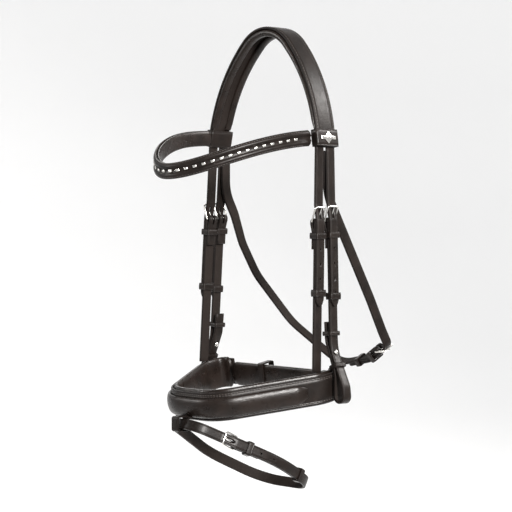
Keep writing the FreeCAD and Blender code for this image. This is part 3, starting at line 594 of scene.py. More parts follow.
def buckle(prefix, station, body, width=STRAP):
    """A drawn nickel frame, and a tapered tongue rolled round the heel bar."""
    half = width / 2 + SIDE_GAP + WIRE
    tilt = moved((TOE[0] + HEEL[0]) / 2, 0, 0) @ turned("Y", FRAME_ANGLE)
    flat = station.matrix @ tilt @ ACROSS_FACE
    line = closed_rounded(flat, -half, half, -FRAME_LENGTH / 2, FRAME_LENGTH / 2, 3.0)
    normal = flat.to_3x3() @ Z_AXIS
    side = side_of(line, normal, line[len(line) // 2] - flat.translation)
    sweep(f"{prefix}_buckle_frame", line, normal, side, wire_section(0.98, 1.15), body, (f"{prefix}_buckle",),
          METAL, closed=True)

    lift = WIRE + 1.1
    angle = FRAME_ANGLE + degrees(asin(lift / FRAME_LENGTH))
    arm = station.matrix @ moved(HEEL[0], 0, HEEL[1]) @ turned("Y", angle)
    reach = FRAME_LENGTH + 1.6
    eye = WIRE + 1.05
    start = radians(350)
    shank = [(sin(start) * eye, cos(start) * eye), (0.0, 3.4), (0.35, reach * 0.5),
             (0.1, reach * 0.82), (-0.5, reach)]
    line = rounded([arm @ Vector((a, 0, b)) for a, b in shank], [3, 20, 12], 6)
    ring = [arm @ Vector((sin(t) * eye, 0, cos(t) * eye)) for t in circle(20)]
    across = arm.to_3x3() @ Y_AXIS

    def tapered(distance, total):
        left = total - distance
        end = min(1.0, 0.35 + 0.65 * sqrt(min(1.0, left / 0.9)))
        return end * (1.0 - 0.12 * distance / total), end * (1.0 - 0.25 * distance / total)

    tongue_body = f"{prefix}_tongue"
    line = with_extra(line, (-0.2, -0.5, -0.9), 2.0)
    sweep(f"{prefix}_tongue_arm", line, across, 1, wire_section(0.85, 0.75), tongue_body, (tongue_body,),
          METAL, shape=tapered)
    sweep(f"{prefix}_tongue_eye", ring, across, 1, wire_section(1.05, 0.8), tongue_body, (), METAL,
          closed=True)


def strap_loop(name, station, body, inside, outside, up, room=0.3, length=7.5, width=STRAP, wall=1.7,
               grooves=None):
    """A leather loop round the layers, creased along its edges."""
    gap = room + wall / 2
    half = width / 2 + gap
    place = station.matrix @ moved(0, 0, up)
    line = closed_rounded(place, inside - gap, outside + gap, -half, half, wall / 2 + 0.5)
    upward = place.to_3x3() @ Z_AXIS
    side = side_of(line, upward, line[len(line) // 2] - place @ Vector(((inside + outside) / 2, 0, 0)))
    if grooves is None:
        grooves = (-length / 2 + 1.25, length / 2 - 1.25)
    section = strap_section(length, wall, grooves, dome=0.2, corner=0.55, depth=0.2)
    sweep(f"{name}_leather", line, upward, side, section, body, (name,), closed=True)


def sliding_loop(prefix, station, inside, outside, up, length=7.5):
    """A runner: a looser loop on a body of its own."""
    strap_loop(f"{prefix}_runner", station, f"{prefix}_runner", inside, outside, up, 0.4, length)


# ---- headpiece

HEAD = turned("X", -2.2)
head_sheet = Sheet("side", HEAD)
CROWN_TOP = 10.2
TOP_RADIUS = 56.0
SIDE_RADIUS = 208.0
TOP_TURN = 45.0
SIDE_TURN = 79.7
CROWN_WIDTH = 31.0
CROWN_THICK = 3.0


def half_arch(inward, end_turn=SIDE_TURN, run=0.0, step=3.0):
    """The near half of the headpiece's curve from the poll down, moved inward."""
    points = []
    turn_count = int(TOP_TURN / step)
    for k in range(turn_count + 1):
        turn = radians(TOP_TURN * k / turn_count)
        radius = TOP_RADIUS - inward
        points.append((radius * sin(turn), CROWN_TOP - TOP_RADIUS + radius * cos(turn)))
    turn = radians(TOP_TURN)
    reach = TOP_RADIUS - SIDE_RADIUS
    centre = (sin(turn) * reach, CROWN_TOP - TOP_RADIUS + cos(turn) * reach)
    side_count = int((end_turn - TOP_TURN) / 2)
    for k in range(1, side_count + 1):
        turn = radians(TOP_TURN + (end_turn - TOP_TURN) * k / side_count)
        radius = SIDE_RADIUS - inward
        points.append((centre[0] + radius * sin(turn), centre[1] + radius * cos(turn)))
    if run:
        points.append((points[-1][0] + cos(turn) * run, points[-1][1] - sin(turn) * run))
    return points


def whole_arch(*shape):
    near = half_arch(*shape)
    return [head_sheet.at((-a, b)) for a, b in near[::-1]] + [head_sheet.at(p) for p in near[1:]]


def facing(line, across, outward, index):
    """The sign that makes a swept strap's grain face look outward at one place of its line."""
    tangent = line[index + 1] - line[index]
    wide = across(line[index]) if callable(across) else across
    return 1 if tangent.cross(wide).dot(outward) > 0 else -1


crown_line = with_extra(whole_arch(0, SIDE_TURN, 21.0), EXTRA, 6)
crown_side = facing(crown_line, head_sheet.across, Z_AXIS, len(crown_line) // 2)
crown_section = strap_section(CROWN_WIDTH, CROWN_THICK, (-13.6, -11.9, 11.9, 13.6), dome=0.5, depth=0.24)
sweep("headpiece_crown_leather", crown_line, head_sheet.across, crown_side, crown_section, "headpiece",
      ("headpiece_crown",), shape=strap_shape(None, None))
crown_stitches = []
for offset in (-12.75, 12.75):
    crown_stitches += stitch_row(crown_line, head_sheet.across, crown_side, offset, 1.62, 4, -4, 3.9)
stitches("headpiece_crown_stitches", crown_stitches, "headpiece", 2.7, 0.4)

pad_line = with_extra(whole_arch(CROWN_THICK / 2 + 0.1, 79.3), (1, 2.5, 4.5, -1, -2.5, -4.5), 6)


PAD_THICK = 8.6
PAD_THIN = 4.4


def padding_shape(distance, total):
    """Thick over the poll, thinner towards the browband, and closed over at its ends."""
    left = min(distance, total - distance)
    share = min(1.0, left / (total / 2 - 50))
    end = sqrt(min(1.0, (left + 0.15) / 12.0))
    return 0.88 + 0.12 * end, (PAD_THIN + (PAD_THICK - PAD_THIN) * share) / PAD_THICK * (0.4 + 0.6 * end)


for name, place in (("front", -1), ("rear", 1)):
    shift = HEAD.to_3x3() @ Vector((0, place * 11.0, 0))
    roll = sweep(f"headpiece_padding_{name}", [p + shift for p in pad_line], head_sheet.across, crown_side,
                 pillow_section(10.2, -8.8, 0.0, 2.3), "headpiece",
                 ("headpiece_padding",) if place < 0 else (), PADDING, shape=padding_shape, sharp=70)

# ---- noseband headstrap and hangers

HANGER_ROW = -9.2
HANGER_TOP_X = 97.8
HANGER_TILT = 1.45
HANGER_DROP = 82.0
HANGER_END_Z = -411.0
HANGER_RUNNER_UP = -95
RUNNER_LENGTH = 8.5
STRAP_TOP_Z = -138.0
BILLET_LENGTH = 193.0
HANGER = HEAD @ moved(0, HANGER_ROW, 0)
hanger_sheet = Sheet("side", HANGER)


def tilted_station(sheet, top_x, tilt, drop, flip):
    """A buckle's place on a strap that slopes outward a little from under the headpiece."""
    centre = (top_x + drop * tan(radians(tilt)), STRAP_TOP_Z - drop)
    return Station(sheet, centre, 90 + tilt, 1, flip)


def outward_of(station):
    return station.matrix.to_3x3() @ X_AXIS


def hanger_station(flip):
    return tilted_station(hanger_sheet, HANGER_TOP_X, HANGER_TILT, HANGER_DROP, flip)


STEP_TOP_Z = -104.0
STEP_HEIGHT = 16.0


def stepped(point):
    """The headstrap runs in the channel over the poll, then steps forward to the hangers."""
    local = HEAD.inverted() @ point
    share = min(1.0, max(0.0, (STEP_TOP_Z - local.z) / STEP_HEIGHT))
    local.y = HANGER_ROW * share * share * (3 - 2 * share)
    return HEAD @ local


def headstrap_points(flip):
    station = hanger_station(flip)
    arch = half_arch(CROWN_THICK / 2 + 0.1 + 1.5, SIDE_TURN, 21.0)
    points = [(arch[-2][0] * flip, arch[-2][1]), (arch[-1][0] * flip, arch[-1][1])]
    points += billet_points(station, HANGER_DROP - 12)
    return points + [station.point(BILLET_OUT, HANGER_DROP - BILLET_LENGTH)]


def holes_along(station, ups, out=BILLET_OUT):
    return [hole_cut(station, out, up, 2.0, 2.8, 5.5) for up in ups]


BILLET_HOLES = (-42, -60, -78, -96)
over = half_arch(CROWN_THICK / 2 + 1.6)
head_line = [head_sheet.at((-a, b)) for a, b in over[:0:-1]] + [head_sheet.at(p) for p in over]
near_leg = head_sheet.line(headstrap_points(1), [30, 60, 15, 15])
far_leg = head_sheet.line(headstrap_points(-1), [30, 60, 15, 15])
headstrap_line = [stepped(p) for p in with_extra(far_leg[:0:-1] + head_line + near_leg[1:], (), 4)]
headstrap_side = facing(headstrap_line, head_sheet.across, Z_AXIS, len(headstrap_line) // 2)
headstrap = leather_strap("noseband_headstrap_leather", headstrap_line, head_sheet.across, headstrap_side,
                          STRAP, 3.0, "headpiece", ("noseband_headstrap",), POINT_SHAPE, POINT_SHAPE)
cuts = []
for _, flip in SIDES:
    station = hanger_station(flip)
    cuts += [tongue_hole(station)] + holes_along(station, BILLET_HOLES)
carve(headstrap, cuts)


def buckle_strap(prefix, station, rest, body, turn_back=42.0, width=STRAP, end=None, extra_cuts=(),
                 across=None):
    """A strap with a buckle fold: its body, tongue slot and seam stitches."""
    line = fold_line(station, turn_back)
    seam_mark = lengths(line)[-1]
    line += rest
    wide = across or station.sheet.across
    side = facing(line, wide, outward_of(station), len(line) - len(rest) - 1)
    item = leather_strap(f"{prefix}_leather", line, wide, side, width, THICK, body, (prefix,), None, end)
    carve(item, [slot_cut(station)] + list(extra_cuts))
    places = []
    for offset in (1.75 - width / 2, width / 2 - 1.75):
        for start, stop in ((2.5, 12.6), (21.5, turn_back - 10.4)):
            places += stitch_row(line, wide, side, offset, HALF - 0.12, seam_mark + start, seam_mark + stop,
                                 2.7)
    stitches(f"{prefix}_stitches", places, body, 2.0, 0.36)


for side_name, flip in SIDES:
    station = hanger_station(flip)
    prefix = f"hanger_{side_name}"
    end_up = (HANGER_END_Z - station.origin[1]) / cos(radians(HANGER_TILT))
    rest = [station.sheet.at(station.point(MAIN_OUT, end_up))]
    buckle_strap(f"{prefix}_strap", station, rest, "headpiece")
    buckle(prefix, station, "headpiece")
    strap_loop(f"{prefix}_fixed_keeper", station, "headpiece", BACKED_INSIDE, OUTSIDE, KEEPER_UP)
    sliding_loop(prefix, station, SINGLE_INSIDE, OUTSIDE, HANGER_RUNNER_UP, RUNNER_LENGTH)

# ---- cheekpieces

CHEEK = turned("X", -1.15) @ moved(0, 5.7, 0)
cheek_sheet = Sheet("side", CHEEK)
CHEEK_TOP_X = 98.4
CHEEK_TILT = 2.74
CHEEK_DROP = 80.5
CHEEK_RUNNER_UP = -100
BIT_X = 127.2
BIT_Z = -439.0
BIT_RADIUS = 7.6
STUD_AT = (110.6, -388.0)
STUD_ANGLE = 112
# The keepers above the bit loop: name, centre, lean from upright, and half the thickness inside.
KEEPERS_ABOVE_BIT = (("upper", (106.0, -364), 5, 5.7), ("lower", (118.2, -403.2), 25.5, 5.0))


def lower_cheek(station, flip):
    """The cheekpiece below its buckle: outward, round the bit loop, and up its own back."""
    out = (BIT_X + BIT_RADIUS) * flip
    inn = (BIT_X - BIT_RADIUS) * flip
    down = [station.point(MAIN_OUT, HEEL[1]), (110.6 * flip, -384), (133.2 * flip, -427), (out, BIT_Z)]
    line = cheek_sheet.line(down, [60, 18])
    for k in range(1, 16):
        turn = pi * k / 16
        x = BIT_X + BIT_RADIUS * cos(turn)
        line.append(cheek_sheet.at((x * flip, BIT_Z - BIT_RADIUS * sin(turn))))
    up = [(inn, BIT_Z), (inn, -412), (103.2 * flip, -374), (101.0 * flip, -350)]
    return line[1:] + cheek_sheet.line(up, [25, 25])


# A hook stud turned about its own line, as (along, radius).
STUD_PROFILE = ((-6.5, 0.4), (-6.35, 1.7), (-5.9, 2.7), (-5.3, 3.0), (-5.1, 2.9), (-5.1, 1.35), (5.1, 1.35),
                (5.1, 2.9), (5.35, 3.0), (5.9, 2.75), (6.35, 1.8), (6.5, 0.4))

for side_name, flip in SIDES:
    station = tilted_station(cheek_sheet, CHEEK_TOP_X, CHEEK_TILT, CHEEK_DROP, flip)
    body = prefix = f"cheek_{side_name}"
    points = billet_points(station, CHEEK_DROP + 0.8)
    points.append(station.point(BILLET_OUT, CHEEK_DROP - BILLET_LENGTH))
    line = cheek_sheet.line(points, [15, 15])
    side = facing(line, cheek_sheet.across, outward_of(station), 0)
    billet = leather_strap(f"{prefix}_billet_leather", line, cheek_sheet.across, side, STRAP, THICK, body,
                           (f"{prefix}_billet",), None, POINT_SHAPE)
    carve(billet, [tongue_hole(station)] + holes_along(station, BILLET_HOLES))
    stud = Station(cheek_sheet, STUD_AT, STUD_ANGLE, 1, flip)
    bore = hole_cut(stud, 0, 0, 3.4, 3.4, 16.5)
    buckle_strap(f"{prefix}_piece", station, lower_cheek(station, flip), body, extra_cuts=(bore,))
    buckle(prefix, station, body)
    strap_loop(f"{prefix}_fixed_keeper", station, body, BACKED_INSIDE, OUTSIDE, KEEPER_UP)
    sliding_loop(prefix, station, SINGLE_INSIDE, OUTSIDE, CHEEK_RUNNER_UP, RUNNER_LENGTH)
    for name, centre, lean, half in KEEPERS_ABOVE_BIT:
        place = Station(cheek_sheet, centre, 90 + lean, 1, flip)
        strap_loop(f"{prefix}_bit_keeper_{name}", place, body, -half, half, 0, length=5.5)
    layers = [[stud.matrix @ Vector((along, radius * cos(t), -radius * sin(t))) for t in circle(28)]
              for along, radius in STUD_PROFILE]
    blocks(f"{prefix}_hook_stud_domed", [layers], METAL, body, (f"{prefix}_hook_stud",), 50)

# ---- browband


BROW_HALF = 93.4
BROW_END_Y = -5.7
BROW_REACH = 166.0
BROW_END_Z = -125.8
BROW_DIP = 40.4
NEAR_POWER = 2.07
FAR_POWER = 3.0
BAND_START = 6.8


def browband_centre(turn):
    """The browband's middle line, in degrees from the near loop round to the far one."""
    angle = radians(turn)
    power = NEAR_POWER if turn <= 90 else FAR_POWER
    rise = sin(angle)
    return Vector((BROW_HALF * cos(angle), BROW_END_Y - BROW_REACH * rise,
                   BROW_END_Z - BROW_DIP * rise ** power))


brow_line = [browband_centre(BAND_START + (180 - 2 * BAND_START) * k / 90) for k in range(91)]
brow_side = facing(brow_line, Z_AXIS, -Y_AXIS, 45)
BAND_HALF = 9.75


def rimmed_section():
    """The browband's leather: a soft raised rim above and below a sunken channel."""
    face = [(-9.35, 2.5), (-8.9, 3.1), (-8.4, 3.3), (-8.1, 3.05), (-7.7, 3.45), (-6.6, 4.15), (-5.4, 4.35),
            (-4.2, 4.15), (-3.2, 3.5), (-2.8, 2.75), (-2.5, 2.5)]
    section = [(a, b, 0) for a, b in face] + [(-a, b, 0) for a, b in face[::-1]]
    section += [(BAND_HALF, 1.9, 1), (BAND_HALF, 0.5, 1), (BAND_HALF - 0.5, 0, 1)]
    return section + [(-BAND_HALF + 0.5, 0, 1), (-BAND_HALF, 0.5, 1), (-BAND_HALF, 1.9, 1)]


def soft_end(run, low=0.5):
    """A padded piece's ends, drawn in over a run of its length."""
    def shape(distance, total):
        left = min(distance, total - distance)
        size = low + (1 - low) * sqrt(min(1.0, (left + 0.1) / run))
        return size, size
    return shape


PAD_ENDS = (0.8, 2, 4, -0.8, -2, -4)


def thin_ends(distance, total):
    """The rims flatten and the corners round off where the band meets the loops."""
    left = min(distance, total - distance)
    return min(1.0, 0.55 + 0.45 * sqrt(left / 3.4)), min(1.0, 0.68 + 0.32 * left / 15.0)


rim_line = with_extra(brow_line, (0.4, 1.0, 2.0, 3.4, -0.4, -1.0, -2.0, -3.4), 9)
sweep("browband_strap_leather", rim_line, Z_AXIS, brow_side, rimmed_section(), "browband",
      ("browband_strap",), shape=thin_ends, sharp=60)
brow_pad = sweep("browband_padding_soft", with_extra(brow_line, PAD_ENDS, 9), Z_AXIS, brow_side,
                 pillow_section(18.6, -4.5, -0.05), "browband", ("browband_padding",), PADDING,
                 shape=soft_end(4.0), sharp=70)
brow_places = []
for offset in (-8.1, 8.1):
    brow_places += stitch_row(brow_line, Z_AXIS, brow_side, offset, 3.15, 15, -15, 3.3)
stitches("browband_stitches", brow_places, "browband", 2.3, 0.36)


def browband_place(turn, outward_step):
    """A matrix on the browband: outward, up its height, and along it."""
    along = (browband_centre(turn + 0.5) - browband_centre(turn - 0.5)).normalized()
    outward = Z_AXIS.cross(along).normalized()
    return placed(browband_centre(turn) + outward * outward_step, outward, along.cross(outward), along)


def turns_at_pitch(start, end, pitch):
    """Turns along the browband whose places are a pitch apart."""
    turn = start
    places = [turn]
    distance = 0.0
    while turn < end:
        distance += (browband_centre(turn + 0.05) - browband_centre(turn)).length
        turn += 0.05
        if distance >= pitch:
            places.append(turn)
            distance = 0.0
    return places


# A clincher's outline as shares of its half height and half length, and its layers, each a height
# above the channel and an inset.
CLINCHER_OUTLINE = ((-1, -0.85), (-0.8, -1), (0.8, -1), (1, -0.85),
                    (1, 0.85), (0.8, 1), (-0.8, 1), (-1, 0.85))
CLINCHER_LAYERS = ((0.0, 0.0), (1.4, 0.0), (1.8, 0.22), (2.05, 0.55), (2.2, 0.95))
CLINCHER_PITCH = 10.8
CLINCHER_HALF = (1.55, 2.5)
clinchers = []
for turn in turns_at_pitch(15.0, 165.0, CLINCHER_PITCH):
    place = browband_place(turn, 2.3)
    layers = []
    for out, inset in CLINCHER_LAYERS:
        tall, long = (half - inset for half in CLINCHER_HALF)
        layers.append([place @ Vector((out, y * tall, z * long)) for y, z in CLINCHER_OUTLINE])
    clinchers.append(layers)
blocks("browband_clinchers_bevelled", clinchers, METAL, "browband", ("browband_clinchers",), 25)

BROW_LOOP_AT = (97.6, -126.6)
BROW_LOOP_ANGLE = 100.3
BROW_LOOP_HALF = 3.3
BROW_LOOP_ROOM = 0.4
BROW_LOOP_WALL = 2.2
brow_loops = [Station(head_sheet, BROW_LOOP_AT, BROW_LOOP_ANGLE, 1, flip) for _, flip in SIDES]
for (side_name, _), station in zip(SIDES, brow_loops):
    strap_loop(f"browband_{side_name}_loop", station, "headpiece", -BROW_LOOP_HALF, BROW_LOOP_HALF, 0,
               BROW_LOOP_ROOM, 21.0, CROWN_WIDTH, BROW_LOOP_WALL, (-9.0, 9.0))

PLATE_OUT = BROW_LOOP_HALF + BROW_LOOP_ROOM + BROW_LOOP_WALL + 0.06
PLATE_OUTLINE = ((-12, -2.2), (-5.5, -2.2), (0, -7.5), (5.5, -2.2), (12, -2.2),
                 (12, 2.2), (5.5, 2.2), (0, 7.5), (-5.5, 2.2), (-12, 2.2))
layers = []
for out, inset in ((0.0, 0.0), (0.8, 0.0), (1.2, 0.3), (1.45, 0.8)):
    layer = []
    for a, b in PLATE_OUTLINE:
        in_a = copysign(inset, a) if a else 0.0
        in_b = copysign(inset if a else inset * 1.25, b)
        layer.append(brow_loops[0].matrix @ Vector((PLATE_OUT + out, a - in_a, b - in_b)))
    layers.append(layer)
blocks("browband_end_plate_bevelled", [layers], METAL, "headpiece", ("browband_end_plate",), 25)

# ---- noseband

NOSE_HEIGHT = 34.0
NOSE_THICK = 3.0
NOSE_PAD_THICK = 7.5
NOSE_MID = moved(0, -61.6, -420.6) @ turned("X", 9.9) @ moved(0, 0, -NOSE_HEIGHT / 2)
nose_sheet = Sheet("ring", NOSE_MID)
SEAM_X = 90.0
REAR_Y = 77.3
NEAR_RING = [(SEAM_X, REAR_Y), (112, REAR_Y), (115.0, 40), (42, -80)]
RING_RADII = [18, 45, 50]
NOSE_OUT = NOSE_MID.to_3x3() @ -Y_AXIS


def offset_points(points, inward):
    """The corners of an open outline, moved to the right of its direction."""
    runs = []
    for (a, b), (c, d) in zip(points, points[1:]):
        along = Vector((c - a, d - b)).normalized()
        shift = Vector((along.y, -along.x)) * inward
        runs.append((Vector((a, b)) + shift, Vector((c, d)) + shift, along))
    result = [runs[0][0]]
    for (_, corner, along), (other, _, next_along) in zip(runs, runs[1:]):
        gap = other - corner
        step = gap.cross(next_along) / along.cross(next_along)
        result.append(corner + along * step)
    return [tuple(p) for p in result + [runs[-1][1]]]


def both_sides(points):
    """An outline and its mirror image, as one line."""
    return points + [(-a, b) for a, b in reversed(points)]


def ring_line(points, radii, inward):
    """A line round the noseband, moved inward, with its bends kept parallel."""
    return nose_sheet.line(offset_points(points, inward), [radius - inward for radius in radii])


ring = both_sides(NEAR_RING)
ring_radii = RING_RADII + RING_RADII[::-1]
band_line = with_extra(ring_line(ring, ring_radii, NOSE_THICK / 2), EXTRA, 8)
nose_side = facing(band_line, nose_sheet.across, NOSE_OUT, len(band_line) // 2)
upper = 1 if nose_sheet.across.z > 0 else -1
band_section = strap_section(NOSE_HEIGHT, NOSE_THICK, (-14.9, -13.2, 13.2, 14.9), dome=0.35, corner=0.9)
sweep("noseband_band_leather", band_line, nose_sheet.across, nose_side, band_section, "noseband",
      ("noseband_band",), shape=strap_shape(None, None))
nose_places = []
for offset in (-14.05, 14.05, 12.2 * upper):
    nose_places += stitch_row(band_line, nose_sheet.across, nose_side, offset, 1.55, 3, -3, 3.5)
stitches("noseband_stitches", nose_places, "noseband", 2.4, 0.38)

pad_middle = ring_line(ring, ring_radii, NOSE_THICK + 0.1 + NOSE_PAD_THICK / 2)
nose_pad = sweep("noseband_padding_soft", with_extra(pad_middle, PAD_ENDS, 8), nose_sheet.across, nose_side,
                 pillow_section(39.5, -3.9, 3.75, 3.0, 36), "noseband", ("noseband_padding",), PADDING,
                 shape=soft_end(5.0), sharp=70)


def between(first, last, share):
    return tuple(a + (b - a) * share for a, b in zip(first, last))


ROLL_SHARE = 0.84
roll_end = between(NEAR_RING[3], NEAR_RING[2], ROLL_SHARE)
roll_line = ring_line(both_sides([roll_end, NEAR_RING[3]]), [RING_RADII[2]] * 2, 0.0)


def roll_shape(distance, total):
    """The roll's ends, which taper into the band."""
    left = min(distance, total - distance)
    end = sin(pi / 2 * min(1.0, (left + 0.3) / 16.0))
    return 0.45 + 0.55 * end, 0.16 + 0.84 * end


roll_section = [(a - 1.3 * upper, b, part) for a, b, part in pillow_section(24.0, -1.4, 7.0, 2.0, 32)]
roll_line = with_extra(roll_line, (0.6, 2, 4, 7, 11, 16, -0.6, -2, -4, -7, -11, -16), 7)
nose_roll = sweep("noseband_roll_soft", roll_line, nose_sheet.across, nose_side, roll_section, "noseband",
                  ("noseband_roll",), PADDING, shape=roll_shape, sharp=75)

CHIN_WIDTH = 16.0
CHIN_Y = 79.2
JAW_Y = 67.5
CHIN_BUCKLE_X = 44
JAW_KEEPER_X = -26
JAW_HALF_LENGTH = 84
JAW_PAD_HEIGHT = 30.5
chin = Station(nose_sheet, (CHIN_BUCKLE_X, CHIN_Y), 180, 1)
band_y = REAR_Y - NOSE_THICK / 2
seam = SEAM_X - NOSE_THICK / 2 - 0.3 - HALF
tab_points = [chin.point(MAIN_OUT, HEEL[1]), chin.point(MAIN_OUT, -34), (seam, band_y)]
tab_rest = nose_sheet.line(tab_points, [12])[1:]
buckle_strap("chin_buckle_tab", chin, tab_rest, "noseband", 32, CHIN_WIDTH)
chin_line = nose_sheet.line([(-seam, band_y), (-78, CHIN_Y)] + billet_points(chin, 40)[1:]
                            + [chin.point(BILLET_OUT, -42)], [12, 15, 15])
chin_side = facing(chin_line, nose_sheet.across, outward_of(chin), len(chin_line) - 3)
chin_billet = leather_strap("chin_billet_leather", chin_line, nose_sheet.across, chin_side, CHIN_WIDTH, THICK,
                            "noseband", ("chin_billet",), None, POINT_SHAPE)
carve(chin_billet, [tongue_hole(chin)] + holes_along(chin, (22, 44), 0.4))
buckle("chin", chin, "noseband", CHIN_WIDTH)
strap_loop("chin_keeper", chin, "noseband", BACKED_INSIDE, OUTSIDE, KEEPER_UP, width=CHIN_WIDTH)

jaw_line = [nose_sheet.at((JAW_HALF_LENGTH * (k / 12 - 1), JAW_Y)) for k in range(25)]
jaw_out = NOSE_MID.to_3x3() @ Y_AXIS
jaw_side = facing(jaw_line, nose_sheet.across, jaw_out, 12)
jaw_line = with_extra(jaw_line, (0.5, 1.5, 3, 6, 9, -0.5, -1.5, -3, -6, -9), 9)
jaw_pad = sweep("jaw_pad_soft", jaw_line, nose_sheet.across, jaw_side,
                pillow_section(JAW_PAD_HEIGHT, -3.2, 3.0, 3.2, 36), "noseband", ("jaw_pad",), PADDING,
                shape=soft_end(9.0, 0.62), sharp=70)
jaw_keeper = Station(nose_sheet, (JAW_KEEPER_X, JAW_Y), 180, 1)
strap_loop("jaw_pad_keeper", jaw_keeper, "noseband", -3.2, CHIN_Y - JAW_Y + HALF, 0, length=9.0,
           width=JAW_PAD_HEIGHT)

# ---- flash strap

FLASH = moved(0, -65.6, -515.0) @ turned("X", -26.4)
flash_sheet = Sheet("ring", FLASH)
FLASH_FRONT = (26, -97)
FLASH_SIDE = (69, 12)
FLASH_REAR = (50, 98)
FLASH_FAR = [(-43, 97), (-60, 12), (-17, -97)]
# Shares of the flash strap's runs: the buckle from the front, the tip and the runner from the side.
BUCKLE_SHARE = 0.42
TIP_SHARE = 0.62
RUNNER_SHARE = 0.53


def heading(first, last):
    return degrees(atan2(last[1] - first[1], last[0] - first[0]))


flash = Station(flash_sheet, between(FLASH_FRONT, FLASH_SIDE, BUCKLE_SHARE),
                heading(FLASH_SIDE, FLASH_FRONT), -1)
tail_lift = BILLET_OUT - MAIN_OUT
rear_heading = heading(FLASH_REAR, FLASH_SIDE)
tail = Station(flash_sheet, between(FLASH_SIDE, FLASH_REAR, TIP_SHARE), rear_heading, -1)
flash_points = [flash.point(MAIN_OUT, HEEL[1]), FLASH_SIDE, FLASH_REAR] + FLASH_FAR + [FLASH_FRONT]
flash_points += billet_points(flash, 40)[1:]
flash_points += [(FLASH_SIDE[0] + tail_lift, FLASH_SIDE[1]), tail.point(tail_lift, 0)]
flash_rest = flash_sheet.line(flash_points, [80, 38, 38, 80, 26, 26, 15, 15, 84])[1:]
buckle_strap("flash_strap", flash, flash_rest, "flash", end=POINT_SHAPE,
             extra_cuts=[tongue_hole(flash)] + holes_along(flash, (-42, -60)))
buckle("flash", flash, "flash")
strap_loop("flash_fixed_keeper", flash, "flash", BACKED_INSIDE, OUTSIDE, KEEPER_UP)
flash_end = Station(flash_sheet, between(FLASH_SIDE, FLASH_REAR, RUNNER_SHARE), rear_heading, -1)
sliding_loop("flash", flash_end, -HALF, tail_lift + HALF, 0)

LOOP_ROOM = 15.4 / 2
LOOP_WIDTH = 12.0
flash_front = flash_sheet.at((0, FLASH_FRONT[1]))
loop_place = Matrix.Translation(flash_front) @ ACROSS_FACE
loop_half = LOOP_ROOM + 0.85
loop_line = closed_rounded(loop_place, -loop_half, loop_half, -loop_half, loop_half, 2.4)
loop_side = side_of(loop_line, X_AXIS, loop_line[len(loop_line) // 2] - flash_front)
loop_section = strap_section(LOOP_WIDTH, 1.7, (-4.6, 4.6), corner=0.55, depth=0.2)
sweep("flash_loop_leather", loop_line, X_AXIS, loop_side, loop_section, "noseband", ("flash_loop",),
      closed=True)
tab_line = [flash_front + Vector((0, LOOP_ROOM + 0.2 + k, LOOP_ROOM - 1.0)) for k in range(10)]
tab_side = facing(tab_line, X_AXIS, -Z_AXIS, 2)
leather_strap("flash_loop_tab_leather", tab_line, X_AXIS, tab_side, LOOP_WIDTH, 2.0, "noseband", ())

# ---- throatlatch

THROAT_X = 94.0
PIVOT_Y = 3.0
TOP_Z = -141.6
BEND_Z = -195.0
THROAT = moved(0, PIVOT_Y, BEND_Z) @ turned("X", 28.8)
throat_sheet = Sheet("side", THROAT)
throat_top_sheet = Sheet("side", moved(0, PIVOT_Y, 0))
FAR_TWIST = radians(17)
TWIST_TOWARDS = Vector((-0.69, 0.35, -0.636))


def progress(start, value, span):
    """From 0 at a start to 1 when a value is a span below it."""
    return min(1.0, max(0.0, (start - value) / span))


def throat_across(point):
    """Upright across the cheek, then square to the sloping plane, and twisted a little on the far run."""
    share = progress(BEND_Z + 16, point.z, 32.0)
    square = throat_top_sheet.across.lerp(throat_sheet.across, share).normalized()
    twist = FAR_TWIST * progress(12, point.x, 26.0) * progress(BEND_Z - 20, point.z, 50.0)
    return square * cos(twist) - TWIST_TOWARDS * sin(twist)


def bent(flip, inner):
    """The upright part and its edgewise bend, from the top down to a point on the sloping part."""
    corner = Vector((THROAT_X * flip, PIVOT_Y, BEND_Z))
    top = Vector((THROAT_X * flip, PIVOT_Y, TOP_Z))
    return rounded([top, corner, inner], [58])


throat = Station(throat_sheet, (84.5, -221.5), 28, 1)
MAIN_BEND = -31.0
TIP_PAST_BEND = 48
RUNNER_PAST_BEND = 24
main_bend = throat.point(MAIN_OUT, MAIN_BEND)
FAR_THROAT = [(-8, -250.5), (-69, -192), (-100, -122), (-102.5, -75), (-94.5, -32), (-THROAT_X, 0)]
main_points = [throat.point(MAIN_OUT, HEEL[1]), main_bend] + FAR_THROAT
main_line = throat_sheet.line(main_points, [40, 38, 60, 60, 60, 40])
main_line = [p for p in main_line if (p - main_line[-1]).length > 20 or p.x > 0]
far_bend = bent(-1, main_line[-1])
buckle_strap("throatlatch_strap", throat, main_line[1:] + far_bend[::-1][1:], "throatlatch", 24,
             across=throat_across)

main_heading = heading(main_bend, FAR_THROAT[0])
run = Vector((cos(radians(main_heading)), sin(radians(main_heading))))
tip = Vector(main_bend) + run * TIP_PAST_BEND + Vector((-run.y, run.x)) * tail_lift
near_points = [(THROAT_X, 0), (96, -150), (94.5, -196)] + billet_points(throat, 40)[1:]
near_points += [throat.point(BILLET_OUT, MAIN_BEND - 0.5), tuple(tip)]
near_line = throat_sheet.line(near_points, [80, 60, 10, 8, 40])
near_line = [p for p in with_extra(near_line, (), 6) if (p - near_line[0]).length > 20]
near_line = bent(1, near_line[0]) + near_line[1:]
near_side = facing(near_line, throat_across, X_AXIS, 2)
near_billet = leather_strap("throatlatch_near_billet_leather", near_line, throat_across, near_side, STRAP,
                            THICK, "throatlatch", ("throatlatch_near_billet",), None, POINT_SHAPE)
carve(near_billet, [tongue_hole(throat)] + holes_along(throat, (22, 38), 0.2))
buckle("throatlatch", throat, "throatlatch")
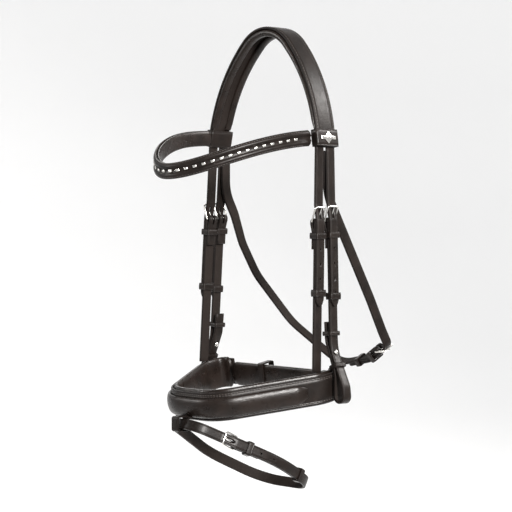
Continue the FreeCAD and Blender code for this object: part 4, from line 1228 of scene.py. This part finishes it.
strap_loop("throatlatch_fixed_keeper", throat, "throatlatch", BACKED_INSIDE, OUTSIDE, KEEPER_UP + 2, 0.6)
slide = Vector(main_bend) + run * RUNNER_PAST_BEND
throat_slide = Station(throat_sheet, tuple(slide), main_heading + 180, 1)
sliding_loop("throatlatch", throat_slide, -HALF, tail_lift + HALF, 0)

# ---- stage, light and camera

floor_material, _, floor_surface = shader("pale_floor", (0.86, 0.86, 0.86), 0.9)
give(floor_surface, Specular_IOR_Level=0.1, Emission_Color=(1, 1, 1, 1), Emission_Strength=0.12)
# The studio bowl's floor and wall in metres, as (radius, height).
BOWL = [(1.0, -0.8), (3.2, -0.8), (4.2, -0.7), (5.0, -0.4), (5.5, 0.05), (5.8, 0.7), (6.0, 2.0), (6.0, 4.5)]
TURNS = 64
bowl_points = [(cos(t) * radius, sin(t) * radius, height)
               for radius, height in BOWL for t in circle(TURNS)]
bowl_faces = []
for base in range(0, (len(BOWL) - 1) * TURNS, TURNS):
    for k in range(TURNS):
        j = (k + 1) % TURNS
        bowl_faces.append((base + TURNS + k, base + TURNS + j, base + j, base + k))
bowl_faces.append(tuple(range(TURNS)))
mesh = bpy.data.meshes.new("studio_bowl")
mesh.from_pydata(bowl_points, [], bowl_faces)
mesh.materials.append(floor_material)
mesh.polygons.foreach_set("use_smooth", [True] * len(mesh.polygons))
bowl = bpy.data.objects.new("studio_bowl", mesh)
bpy.context.scene.collection.objects.link(bowl)

TARGET = Vector((-14.65, -16.27, -273.0)) * MM
CAMERA_PLACE = Vector((2212.8, -2021.9, -146.86)) * MM
LENS = 168.75
LIGHT_SPREAD = 40.0
SKY_STRENGTH = 0.88


def aimed(name, data, place):
    """A light or a camera that looks at the bridle from a place in metres."""
    item = bpy.data.objects.new(name, data)
    item.location = place
    item.rotation_euler = (TARGET - Vector(place)).to_track_quat("-Z", "Y").to_euler()
    bpy.context.scene.collection.objects.link(item)
    return item


def area_light(name, place, power, size):
    data = bpy.data.lights.new(name, "AREA")
    data.energy = power
    data.size = size
    data.color = (1, 0.975, 0.95)
    data.spread = radians(LIGHT_SPREAD)
    aimed(name, data, place)


area_light("key", (2.7, -0.9, 0.75), 24, 0.45)
area_light("crown_light", (1.5, 2.1, 1.3), 8.0, 0.8)
area_light("front_fill", (-1.9, -2.3, 0.7), 4.5, 0.7)
area_light("far_rim", (-2.2, 1.2, 1.4), 1.4, 0.9)

world = bpy.data.worlds.new("soft_sky")
world.use_nodes = True
give(world.node_tree.nodes["Background"], Color=(1, 1, 1, 1), Strength=SKY_STRENGTH)
bpy.context.scene.world = world
bpy.context.scene.view_settings.view_transform = "Standard"

camera_data = bpy.data.cameras.new("camera")
camera_data.sensor_width = 36
camera_data.lens = LENS
camera_data.clip_end = 50
bpy.context.scene.camera = aimed("camera", camera_data, CAMERA_PLACE)
